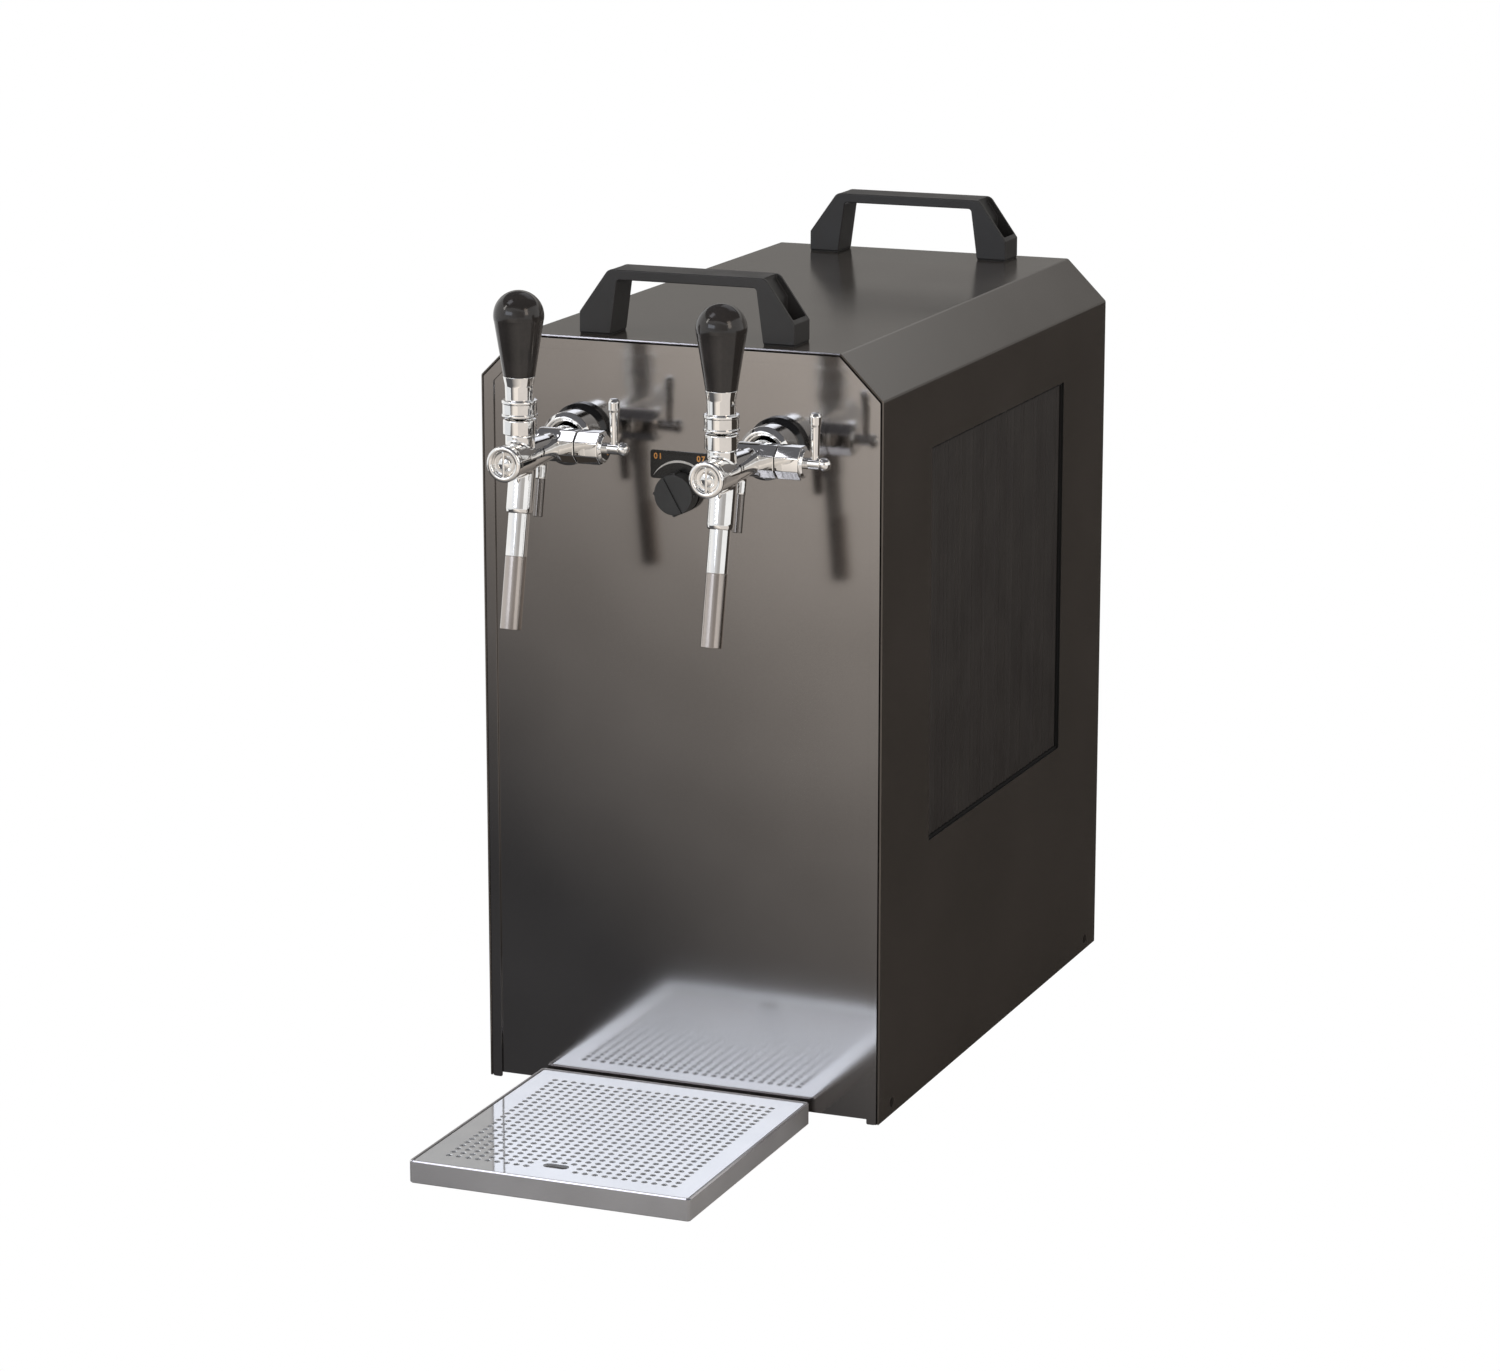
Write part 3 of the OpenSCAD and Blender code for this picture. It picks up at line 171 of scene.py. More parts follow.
def finish(name, colours, rough, metal=0.0, ior=None, size=0.6, height=0.01,
           stretch=(1, 1, 1), drift=60, rough_span=0.06):
    """A material: two near colours, a grain in mm and a slow drift of gloss."""
    made, tree, shader = blank(name)
    wide = grain(tree, drift, detail=2.0)
    fine = grain(tree, size, stretch)
    factor = add(tree, "ShaderNodeMath", {0: spread(tree, wide, 0, 0.7),
                                          1: spread(tree, fine, 0, 0.3)}, operation="ADD")
    tree.links.new(blend_colours(tree, factor.outputs[0], *colours),
                   shader.inputs["Base Color"])
    gloss = add(tree, "ShaderNodeMath", {0: spread(tree, wide, rough - rough_span / 2,
                                                   rough + rough_span / 2),
                                         1: spread(tree, fine, 0, rough_span / 2)},
                operation="ADD")
    tree.links.new(gloss.outputs[0], shader.inputs["Roughness"])
    tree.links.new(relief(tree, fine, height), shader.inputs["Normal"])
    shader.inputs["Metallic"].default_value = metal
    if ior:
        shader.inputs["IOR"].default_value = ior
    return made


print("helpers ready")

# %% [markdown]
# ## The finishes
# Each finish has two near colours, a roughness, and a grain of the size that
# its process leaves. Grit, brush lay and mould texture finer than about half
# a millimetre are drawn at that size, because they wouldn't show otherwise.

# %% Sheet metal
# Baked lacquer levels out: a dark brown-black with broad, soft reflections
lacquer = finish("satin_baked_lacquer", ("#3b3733", "#423d39"), 0.15, ior=1.62,
                 size=0.9, height=0.004, drift=140)
# Polished coloured steel: a grey mirror that blurs what stands further off
dark_mirror = finish("polished_dark_stainless", ("#94918f", "#9f9c9a"), 0.11, metal=1.0,
                     size=0.8, height=0.0003, drift=120, rough_span=0.02)
# Brushed and then washed many times: pale, even, with hardly any mirror
tray_steel = finish("satin_stainless_tray", ("#b3b1b1", "#bebcbc"), 0.45, metal=0.55,
                    size=0.35, height=0.002, stretch=(12, 1, 1), drift=60)
# Polished before it is punched: near white where a lamp lies in it, and a near-white diffuse
# share paints that sheen
grille_steel_painted_sheen = finish("polished_stainless_grille_painted_sheen", ("#f0f3f7", "#f8fafd"), 0.045, metal=0.55,
                      size=1.5, height=0.001, drift=30, rough_span=0.02)
# The sheared edge has thin lacquer, so it is a little greyer than the faces
# The front rim is lacquered like the faces; this lighter, more metallic copy is painted light
# on the rim
rim_painted_light = finish("rim_lacquer_painted_light", ("#5a544f", "#655f59"), 0.3, metal=0.6, size=0.5,
                  height=0.003)
# A near-white mirror on the top bevels of casing and tray: a painted highlight, the thin
# bright line on the rim
bevel_painted_highlight = finish("painted_highlight_bevel", ("#e4e4ea", "#efeff4"), 0.16, metal=1.0,
                     size=0.5, height=0.002)
# Zinc shows faint spangles and a cool grey
zinc = finish("zinc_plated_sheet", ("#8f9090", "#a5a6a5"), 0.38, metal=0.9, size=4.0,
              height=0.004, drift=30, rough_span=0.12)
print("sheet metal ready")

# %% Turned, cast and drawn metal
# Chrome over polished brass: a neutral mirror with hard light and dark bands
chrome = finish("chromed_brass", ("#e9e8e6", "#f3f2f0"), 0.035, metal=1.0, size=3.0,
                height=0.003, drift=25, rough_span=0.02)
# Left as turned: the tool marks spread a lamp to a long warm streak
tip_steel = finish("turned_stainless_tip", ("#aaa29c", "#b5ada7"), 0.19, metal=1.0,
                   size=0.3, height=0.0006, stretch=(1, 1, 30), rough_span=0.03)
# Drawn through a die: fine lines along the tube; its tone, far darker than chrome, is painted
# shade from the socket
vent_steel_painted_shade = finish("drawn_stainless_tube_painted_shade", ("#77726e", "#85807c"), 0.17, metal=1.0,
                    size=0.4, height=0.001, stretch=(1, 1, 20))
# Nickel-plated thread parts: plain, a little dull
plain_steel = finish("plated_steel", ("#9a9a98", "#b0b0ae"), 0.3, metal=1.0, size=0.5,
                     height=0.004)
# Blackened in hot oil: nearly black with a weak metal shine
screw_black = finish("blackened_screw_steel", ("#242220", "#35322f"), 0.35, metal=0.6,
                     size=0.4, height=0.004)
# Rolled aluminium: light grey with fine lines from the mill
alloy = finish("mill_aluminium", ("#b4b6b8", "#c8cacc"), 0.36, metal=1.0, size=0.6,
               height=0.004, stretch=(1, 1, 10))
# Handled copper: orange-brown with duller spots
copper = finish("drawn_copper_pipe", ("#9c5a3a", "#bf7a52"), 0.3, metal=1.0, size=1.5,
                height=0.004, drift=20, rough_span=0.14)
# Enamel dipped and baked: deep black, wet-looking
gloss_paint = finish("black_stove_enamel", ("#101011", "#1a1a1c"), 0.2, ior=1.5,
                     size=1.2, height=0.01)
print("metals ready")

# %% Plastics, rubber, foam and ink
# Pressed in a polished mould: warm black with a clear highlight
phenolic = finish("moulded_black_phenolic", ("#2d2a28", "#363230"), 0.12, ior=1.45,
                  size=2.5, height=0.003, drift=20, rough_span=0.04)
# Gloss ABS: neutral black, sharp small highlights
rosette_black = finish("gloss_black_abs", ("#0d0d0e", "#171718"), 0.14, ior=1.53,
                       size=1.0, height=0.004, drift=20)
# Glass-filled nylon from a spark-eroded mould: matt, finely pitted
nylon = finish("moulded_handle_nylon", ("#222120", "#2b2928"), 0.42, ior=1.53,
               size=0.55, height=0.02, drift=30, rough_span=0.1)
# Matt ABS: an even dark grey without a highlight
dial_abs = finish("matt_dial_abs", ("#2d2d2c", "#373736"), 0.5, ior=1.53, size=0.5,
                  height=0.012, drift=15, rough_span=0.1)
# Crimped film: uneven upright streaks, drawn coarser than the real crimps
window_black = finish("crimped_black_pvc", ("#2a2522", "#312c28"), 0.5, ior=1.5, size=2.6,
                      height=0.16, drift=40, stretch=(1, 1, 14))
# Matt near-black on the window walls and insert frames, black at any angle: painted shade of
# the recess
recess_shade_black = finish("matt_black_painted_recess_shade", ("#0a0a0a", "#111110"), 0.8, ior=1.4, size=0.6,
                   height=0.01)
# Film over a printed black ground: smooth, soft gloss
label_black = finish("printed_label_film", ("#0e0d0c", "#191817"), 0.25, ior=1.5,
                     size=0.8, height=0.002)
# Moulded rubber: dull black, the dustiest surface of all
rubber = finish("black_rubber", ("#141413", "#1e1d1c"), 0.7, ior=1.5, size=0.5,
                height=0.02)
# Uncoloured nylon: milky off-white
white_nylon = finish("white_nylon", ("#c9c4b8", "#d8d4c8"), 0.45, ior=1.53, size=0.6,
                     height=0.01)
# Coloured nylon of the release collets: cool dark grey
grey_nylon = finish("grey_nylon", ("#3c4043", "#4a4e51"), 0.42, ior=1.53, size=0.5,
                    height=0.012)
# Moulded polyamide of the mains inlet: matt black
socket_black = finish("moulded_socket_pa", ("#191919", "#242424"), 0.4, ior=1.53,
                      size=0.5, height=0.012)
# Foam beads pressed together: pale with a coarse, soft grain
foam = finish("expanded_foam", ("#d8d3c4", "#e6e2d6"), 0.85, ior=1.45, size=3.0,
              height=0.3, drift=40)
# Screen-printed inks: flat, opaque, a trace of gloss
print_orange = finish("orange_print", ("#d08a3c", "#dd9a4c"), 0.4, ior=1.5, size=0.4,
                      height=0.004)
print_white = finish("white_print", ("#c9c5bf", "#dcd9d4"), 0.35, ior=1.5, size=0.4,
                     height=0.004)
print("plastics ready")

# %% [markdown]
# ## Dressing the frame
# Inner pieces and simple visible ones already have their right shape in the
# CAD model. They stay as they are and only get their finish. What shows more
# closely is modelled anew in the cells that follow.

# %% Materials of the CAD nodes
CAD_FINISH = {
    rubber: "feet handle_gaskets compressor_mounts",
    lacquer: "casing rear_panel",
    dark_mirror: "front_frame front_panel",
    zinc: "base_plate fan_shroud",
    screw_black: "casing_screws handle_screws",
    nylon: "front_handle rear_handle",
    window_black: "left_grille right_grille fan_motor",
    rosette_black: "left_rosette right_rosette",
    plain_steel: "left_shank right_shank shank_nuts beverage_lines thermostat_shaft",
    chrome: "left_coupling_nut right_coupling_nut left_tap_body right_tap_body bonnet_nuts "
            "left_tap_cap right_tap_cap left_spout right_spout vent_tubes left_gland_nut "
            "right_gland_nut left_compensator right_compensator left_tap_lever "
            "right_tap_lever",
    tip_steel: "spout_tips",
    phenolic: "left_tap_knob right_tap_knob",
    white_nylon: "left_tap_spool right_tap_spool thermostat inlet_fittings",
    dial_abs: "thermostat_knob",
    label_black: "dial_plate",
    tray_steel: "drip_tray",
    grille_steel_painted_sheen: "drip_grille",
    gloss_paint: "compressor",
    alloy: "condenser fan_blades cooling_block",
    copper: "filter_drier refrigerant_lines",
    foam: "block_insulation",
    grey_nylon: "left_inlet_collet right_inlet_collet",
    socket_black: "power_inlet",
}
for material, names in CAD_FINISH.items():
    for name in names.split():
        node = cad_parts[name]
        node.data.materials.clear()
        node.data.materials.append(material)
dressed = " ".join(CAD_FINISH.values()).split()
print(len(dressed), "CAD nodes dressed of", len(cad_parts))

# %% [markdown]
# ## Working with the modelling tools
# Everything is drawn by hand tools: a chain of points is extruded from one
# vertex, then spun round an axis like work on a lathe, or filled and pushed
# out like a cut plate. An operator acts on all that is selected, so each
# helper first clears the selection.


# %% Selecting, drawing and handing over
def pick(*pieces):
    """Selects only these objects and makes the first one active."""
    bpy.ops.object.select_all(action="DESELECT")
    for piece in pieces:
        piece.select_set(True)
    bpy.context.view_layer.objects.active = pieces[0]
    return pieces[0]


def trace(points):
    """Extrudes one vertex along the points; stays in edit mode, all selected."""
    bpy.ops.object.select_all(action="DESELECT")
    bpy.ops.mesh.primitive_plane_add(size=MM, location=(0, 0, 0))
    bpy.ops.object.mode_set(mode="EDIT")
    bpy.ops.mesh.merge(type="CENTER")
    bpy.ops.transform.translate(value=points[0])
    for here, there in zip(points, points[1:]):
        bpy.ops.mesh.extrude_region_move(
            TRANSFORM_OT_translate={"value": there - here})
    bpy.ops.mesh.select_all(action="SELECT")
    bpy.ops.mesh.remove_doubles(threshold=4e-6)
    return bpy.context.object


def close_up():
    """Merges doubles, turns all faces outwards and leaves edit mode."""
    bpy.ops.mesh.select_all(action="SELECT")
    bpy.ops.mesh.remove_doubles(threshold=4e-6)
    bpy.ops.mesh.normals_make_consistent(inside=False)
    bpy.ops.object.mode_set(mode="OBJECT")
    return bpy.context.object


def hand_over(piece, name, material, body, nodes=(), smooth=32):
    """Names a finished piece, gives it its finish and hangs it on its body."""
    pick(piece)
    bpy.ops.object.transform_apply(location=True, rotation=True, scale=True)
    bpy.ops.object.shade_smooth_by_angle(angle=math.radians(smooth))
    bpy.ops.object.modifier_add(type="WEIGHTED_NORMAL")
    piece.modifiers[-1].keep_sharp = True
    apply_last(piece)
    piece.name = name
    if not piece.data.materials:
        piece.data.materials.append(material)
    if nodes:
        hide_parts(*nodes)
    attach(piece, body)
    print(name, len(piece.data.polygons), "faces")
    return piece


# %% [markdown]
# Sharp corners don't exist on a real part: a cutter, a mould and a press all
# leave a small radius, and that radius is what catches the light. So corners
# of a profile are rounded when it is drawn, and edges of a plate by a bevel.


# %% Rounded corners, turned parts and plates
def rounded(points, radii, steps=5, closed=False):
    """Rounds the corners of a chain of flat points by the given radii."""
    made = []
    count = len(points)
    for i, (point, radius) in enumerate(zip(points, radii)):
        if radius == 0 or (not closed and i in (0, count - 1)):
            made.append(tuple(point))
            continue
        corner = Vector(point)
        back = (Vector(points[i - 1]) - corner).normalized()
        ahead = (Vector(points[(i + 1) % count]) - corner).normalized()
        half = back.angle(ahead) / 2
        middle = corner + (back + ahead).normalized() * radius / math.sin(half)
        first = corner + back * radius / math.tan(half) - middle
        last = corner + ahead * radius / math.tan(half) - middle
        sweep = first.angle(last)
        for k in range(steps + 1):
            share = k / steps
            arm = (first * math.sin((1 - share) * sweep)
                   + last * math.sin(share * sweep)) / math.sin(sweep)
            made.append(tuple(middle + arm))
    return made


def turned(profile, origin, axis, steps=64):
    """Spins (along, radius) pairs in mm round an axis, as on a lathe."""
    axis = Vector(axis).normalized()
    side = axis.orthogonal().normalized()
    trace([origin + axis * (a * MM) + side * (r * MM) for a, r in profile])
    bpy.ops.mesh.spin(steps=steps, angle=math.tau, center=origin, axis=axis)
    return close_up()


def plate(outline, depth):
    """Fills a closed outline of points and pushes it out by a vector."""
    trace([*outline, outline[0]])
    bpy.ops.mesh.edge_face_add()
    bpy.ops.mesh.extrude_region_move(TRANSFORM_OT_translate={"value": depth})
    return close_up()


def upright(outline, y0, y1):
    """A plate drawn in x and z, between two depths in mm."""
    return plate([at(x, y0, z) for x, z in outline], Vector((0, (y1 - y0) * MM, 0)))


def lying(outline, z0, z1):
    """A plate drawn in x and y, between two heights in mm."""
    return plate([at(x, y, z0) for x, y in outline], Vector((0, 0, (z1 - z0) * MM)))


def block(low, high):
    """A plain block between two opposite corners, for use as a cutter."""
    low, high = at(*low), at(*high)
    bpy.ops.object.select_all(action="DESELECT")
    bpy.ops.mesh.primitive_cube_add(size=1, location=(low + high) / 2)
    made = bpy.context.object
    made.scale = [abs(d) for d in high - low]
    bpy.ops.object.transform_apply(location=True, rotation=True, scale=True)
    return made


# %% Bevels, cuts, joins and copies
def apply_last(piece):
    """Applies the modifier that was added last."""
    bpy.ops.object.modifier_apply(modifier=piece.modifiers[-1].name)
    return piece


def soften(piece, width, segments=3, angle=35):
    """Rounds every edge sharper than the angle by width mm."""
    pick(piece)
    bpy.ops.object.modifier_add(type="BEVEL")
    bevel = piece.modifiers[-1]
    bevel.width, bevel.segments = width * MM, segments
    bevel.limit_method, bevel.angle_limit = "ANGLE", math.radians(angle)
    return apply_last(piece)


def cut(piece, tool, operation="DIFFERENCE"):
    """Takes the tool's shape away from the piece, or adds it."""
    pick(piece)
    bpy.ops.object.modifier_add(type="BOOLEAN")
    step = piece.modifiers[-1]
    step.operation, step.object, step.solver = operation, tool, "EXACT"
    apply_last(piece)
    bpy.data.objects.remove(tool)
    return piece


def fuse(first, *others):
    """Unites solids that run into each other, as one casting."""
    for other in others:
        cut(first, other, "UNION")
    return first


def joined(first, *others):
    """Puts several loose shells in one object."""
    pick(first, *others)
    bpy.ops.object.join()
    return first


def twin(piece, shift):
    """A copy with its own mesh, moved by a vector."""
    pick(piece)
    bpy.ops.object.duplicate_move(TRANSFORM_OT_translate={"value": shift})
    made = bpy.context.object
    bpy.ops.object.transform_apply(location=True, rotation=False, scale=False)
    return made


print("tools ready")

# %% [markdown]
# ## The casing
# The wrap is one sheet of 1.5 mm steel, bent four times in a press brake to
# a section with two sloped corners. It could be cut from a block, but a
# ribbon that is given a thickness keeps the bends' true radius and the long
# faces clean, which matters on a surface that mirrors its surroundings.

# %% Section of the casing
CHAMFER, SHEET = 30, 1.5
TURN = math.tan(math.radians(22.5))


def section(inset, low):
    """The casing's outline moved inwards by inset mm, from height low."""
    lean, half = inset * TURN, HALF_W - inset
    slope, shoulder = HALF_W - CHAMFER - lean, TOP - CHAMFER - lean
    return [(-half, low), (-half, shoulder), (-slope, TOP - inset),
            (slope, TOP - inset), (half, shoulder), (half, low)]


BEND_R = 2.4
skin = rounded(section(0, BOT), [0, BEND_R, BEND_R, BEND_R, BEND_R, 0], steps=6)
trace([at(x, 0, z) for x, z in skin])
depth = (BODY_HIGH.y - BODY_LOW.y) * MM
bpy.ops.mesh.extrude_region_move(TRANSFORM_OT_translate={"value": (0, depth, 0)})
bpy.ops.object.mode_set(mode="OBJECT")
wrap = bpy.context.object
roof = max(wrap.data.polygons, key=lambda face: face.center.z)
if roof.normal.z < 0:
    wrap.data.flip_normals()
bpy.ops.object.modifier_add(type="SOLIDIFY")
wall = wrap.modifiers[-1]
wall.thickness, wall.offset, wall.use_even_offset = SHEET * MM, -1, True
soften(apply_last(wrap), 0.7, 1, 50)
print("wrap", len(wrap.data.polygons), "faces")

# %% Windows, screw holes and rear flange
WIN_Y, WIN_Z = (94, 374), (180, 454)
wide = HALF_W + 10
window = block((-wide, WIN_Y[0], WIN_Z[0]), (wide, WIN_Y[1], WIN_Z[1]))
cut(wrap, soften(window, 1.2, 3))
SIDE_SCREWS = [(side, y) for side in (-1, 1) for y in (25, BODY_HIGH.y - 25)]
SCREW_Z = BOT + 9
for side, y in SIDE_SCREWS:
    sink = turned([(-0.1, 0), (-0.1, 3.5), (1.6, 2.2), (3, 2.2), (3, 0)],
                  at(side * HALF_W, y, SCREW_Z), (-side, 0, 0), 24)
    cut(wrap, sink)
flange_y = BODY_HIGH.y - 5.8
ring = section(0.75, BOT + 0.3) + section(14, BOT + 0.3)[::-1]
flange = upright(ring, flange_y, flange_y + SHEET)
wrap = soften(joined(wrap, flange), 0.3, 2, 50)
print("wrap with openings", len(wrap.data.polygons), "faces")

# %% Painted light on the front rim, painted highlight on the top bevel and painted shade in the windows
for material in (lacquer, rim_painted_light, bevel_painted_highlight, recess_shade_black):
    wrap.data.materials.append(material)
marked = [0, 0, 0, 0]
# The front rim gets the lighter lacquer (painted light), the crest the painted highlight and
# the window walls the painted shade.
for face in wrap.data.polygons:
    mid, out = face.center / MM, face.normal
    if mid.y < FRONT / MM + 0.8 and out.y < -0.2:
        crest = out.z > 0.2 and abs(out.x) < 0.1 and out.y > -0.95
        face.material_index = 2 if crest else 1
    elif (HALF_W - SHEET < abs(mid.x) < HALF_W - 0.4 and WIN_Z[0] - 1 < mid.z < WIN_Z[1] + 1
          and WIN_Y[0] - 1 < mid.y - FRONT / MM < WIN_Y[1] + 1):
        face.material_index = 3
    marked[face.material_index] += 1
hand_over(wrap, "casing_wrap", lacquer, "cooler", ["casing"], 25)
print(marked, "faces of lacquer, rim painted light, painted highlight and painted shade")

# %% [markdown]
# A crimped insert closes each window just behind the wall. Its folds run
# upright and are not quite even, which gives fine streaks. A frame holds it
# all round; the frame and the sheet's edge round the window are matt
# near-black, painted shade for the shade that lies in the recess.

# %% Window inserts
FOLD, FOLD_X, FRAME_X = 3.6, 142.3, (138, 143.5)
folds = [(FOLD_X + 0.5 * (-1) ** k * (1 + 0.5 * math.sin(0.9 * k) * math.sin(0.37 * k)),
          WIN_Y[0] + 2 + FOLD * k + 0.5 * math.sin(2.3 * k)) for k in range(78)]
for side, name in ((-1, "left"), (1, "right")):
    back = [(FRAME_X[0] + 0.3, folds[-1][1]), (FRAME_X[0] + 0.3, folds[0][1])]
    insert = lying([(side * x, y) for x, y in folds + back], WIN_Z[0] + 2, WIN_Z[1] - 2)
    rims = []
    for x0, x1, grow in ((*FRAME_X, -0.2), (FRAME_X[1] - 1.2, FRAME_X[1], 5)):
        rims.append(block((side * x0, WIN_Y[0] - grow, WIN_Z[0] - grow),
                          (side * x1, WIN_Y[1] + grow, WIN_Z[1] + grow)))
    rim = fuse(*rims)
    hole = block((side * 130, WIN_Y[0] + 1.7, WIN_Z[0] + 1.7),
                 (side * 150, WIN_Y[1] - 1.7, WIN_Z[1] - 1.7))
    rim = soften(cut(rim, hole), 0.2, 2)
    insert.data.materials.append(window_black)
    # The frame gets the near-black of the painted recess shade.
    rim.data.materials.append(recess_shade_black)
    hand_over(joined(insert, rim), f"{name}_window_insert", window_black, "cooler",
              [f"{name}_grille"], 15)

# %% [markdown]
# ## Front frame and panel
# Inside the wrap's front edge stands a flat frame with a lip that runs back,
# and inside that frame the polished front panel lies a little deeper. The
# dark joints between them are real gaps, so no line has to be painted.

# %% Front frame
JOINT, BORDER, FRAME_T, LIP_T = 0.6, 9, 1.2, 12
outer = section(SHEET + JOINT, BOT)
inner = section(BORDER, BOT)
band = rounded(outer + inner[::-1], [2, 1.6, 1.6, 1.6, 1.6, 2, 1, 0.6, 0.6, 0.6, 0.6, 1],
               steps=4, closed=True)
border = upright(band, 0, FRAME_T)
behind = section(SHEET + JOINT + FRAME_T, BOT)
lip = upright(rounded(outer + behind[::-1], [0, 1.6, 1.6, 1.6, 1.6, 0] + [0] * 6,
                      steps=4, closed=True), FRAME_T - 0.4, LIP_T)
border = soften(fuse(border, lip), 0.5, 3, 40)
hand_over(border, "front_border", dark_mirror, "cooler", ["front_frame"], 30)

# %% Front panel
PANEL_Y, PANEL_T, PANEL_Z = 1.5, 1.5, BOT + 3
TAP_X, TAP_Z, DIAL_Z = 71, 465, 429.5
panel_line = rounded(section(3.6, PANEL_Z), [1, 0.8, 0.8, 0.8, 0.8, 1], closed=True)
panel = upright(panel_line, PANEL_Y, PANEL_Y + PANEL_T)
fold = block((-HALF_W + 3.6, PANEL_Y + 0.2, PANEL_Z), (HALF_W - 3.6, LIP_T, PANEL_Z + 1.5))
fuse(panel, fold)
for x, z, radius in ((-TAP_X, TAP_Z, 10.8), (TAP_X, TAP_Z, 10.8), (0, DIAL_Z, 5.3)):
    cut(panel, turned([(-1, 0), (-1, radius), (4, radius), (4, 0)],
                      at(x, PANEL_Y, z), (0, 1, 0), 40))
soften(panel, 0.3, 2, 40)
hand_over(panel, "polished_front", dark_mirror, "cooler",
          ["front_panel"], 30)

# %% [markdown]
# ## Carrying handles
# Each handle is one moulding: a grip bar on two legs whose outer faces slope
# in. A pocket opens in each slope and gives a screwdriver its way down to
# the screw. The outline is cut as a plate, rounded all round, and the
# pockets are then taken out, which leaves their thin walls as moulded.

# %% Handles
HANDLE_HALF, HANDLE_LOW, HANDLE_HIGH, HANDLE_D = 77.5, TOP + 1, TOP + 44.5, 27.5
HEEL, CROWN_X, LEG_IN, GRIP_LOW = TOP + 15, 56.4, 55, TOP + 37.7
HANDLE_Y = (12.6, 435.0)
side_line = [(HANDLE_HALF, HANDLE_LOW), (HANDLE_HALF, HEEL), (CROWN_X, HANDLE_HIGH)]
arch = [(-x, z) for x, z in side_line] + side_line[::-1]
arch += [(LEG_IN, HANDLE_LOW), (LEG_IN - 5, GRIP_LOW), (5 - LEG_IN, GRIP_LOW),
         (-LEG_IN, HANDLE_LOW)]
arch = rounded(arch, [0, 1.5, 6, 6, 1.5, 0, 0, 2.5, 2.5, 0], steps=6, closed=True)


def handle(y):
    """One moulded handle with an open pocket in each sloped face."""
    bar = soften(upright(arch, y, y + HANDLE_D), 0.7, 3, 40)
    for side in (-1, 1):
        pocket = [(75.6, TOP + 9), (75.6, TOP + 70), (54.5, TOP + 70), (54.5, TOP + 41),
                  (62, TOP + 30), (62, TOP + 9)]
        well = upright([(side * x, z) for x, z in pocket], y + 2.4, y + HANDLE_D - 2.4)
        cut(bar, soften(well, 0.8, 2))
    return soften(bar, 0.25, 2, 50)


for y, name in zip(HANDLE_Y, ("front_handle", "rear_handle")):
    hand_over(handle(y), name + "_moulding", nylon, "cooler", [name], 35)

# %% [markdown]
# ## The taps
# Each tap is an assembly of chromed brass parts: a coupling nut that draws
# the body against the shank, the cast body, a nut over the lever's ball, a
# dished cap, a spout and a flow compensator with its gland nut and pin. One
# tap is made, on the right, and its parts are copied to the left.

# %% Measures of a tap
REACH, PIVOT_Z, CROSS_Y, LEAN = 97, 484, -45, 11.8
SPOUT_Y, SPOUT_Z = -95, TAP_Z - 15
DOWN = Vector((0, -math.sin(math.radians(LEAN)), -math.cos(math.radians(LEAN))))
ALONG, ACROSS, UP = Vector((0, -1, 0)), Vector((1, 0, 0)), Vector((0, 0, 1))
GAP = Vector((-2 * TAP_X * MM, 0, 0))
tap_axis = at(TAP_X, 0, TAP_Z)
spout_top = at(TAP_X, SPOUT_Y, SPOUT_Z)
pivot = at(TAP_X, -REACH, PIVOT_Z)


def pair(piece, name, material, body, node, smooth=32):
    """Hands over the right piece and its copy on the left."""
    other = twin(piece, GAP)
    for side, one in (("right", piece), ("left", other)):
        hand_over(one, f"{side}_{name}", material, body.format(side),
                  [f"{side}_{node}"], smooth)


# %% Rosette and coupling nut
rosette = turned(rounded([(-1.5, 10.9), (-1.5, 20.6), (2.6, 20.6), (7, 17.4), (7, 14.4),
                          (5.4, 13.6), (5.4, 10.9), (-1.5, 10.9)],
                         [0, 0.3, 2.4, 2.0, 0.4, 0.4, 0.3, 0], 6), tap_axis, ALONG, 72)
pair(rosette, "rosette_ring", rosette_black, "cooler", "rosette")
nut = turned(rounded([(7.6, 12.4), (7.6, 18), (24, 18), (27.6, 15.4), (27.6, 13.9),
                      (25.4, 13.5), (25.4, 12.3), (7.6, 12.4)],
                     [0, 0.6, 2.2, 0.9, 0.5, 0.4, 0.3, 0], 6), tap_axis, ALONG, 72)
pair(soften(nut, 0.2, 2, 50), "coupling_ring", chrome, "cooler", "coupling_nut")

# %% [markdown]
# The body is a casting, polished before it is chromed, so its arms run into
# each other with soft fillets. The raw forms are united, the skin is closed
# again in small even steps and smoothed, as a polishing wheel would do; the
# machined ends and bores are cut afterwards and stay crisp.

# %% Cast tap body
arm = turned(rounded([(17, 0), (17, 12.0), (19, 11.6), (34, 9.3), (60, 8.9), (86, 10.6),
                      (96, 11.5), (119, 11.5), (119, 0)],
                     [0, 0.4, 2, 10, 12, 8, 2, 0.4, 0], 6), tap_axis, ALONG, 48)
cross = turned(rounded([(-10.1, 0), (-10.1, 11.2), (9, 11.4), (9, 0)], [0, 1.6, 1, 0]),
               at(TAP_X, CROSS_Y, TAP_Z), ACROSS, 48)
neck = turned(rounded([(0, 0), (0, 9.6), (16.2, 9.6), (16.2, 0)], [0, 1, 0.4, 0]),
              at(TAP_X, -REACH, TAP_Z), UP, 48)
socket = turned(rounded([(-8, 0), (-8, 8.9), (19.4, 8.9), (22, 8.2), (22, 0)],
                        [0, 0.5, 1.5, 0.3, 0]), spout_top, DOWN, 48)
root = turned([(0, 0), (0, 5), (20, 4.4), (20, 0)], at(TAP_X, -63, TAP_Z), DOWN, 24)
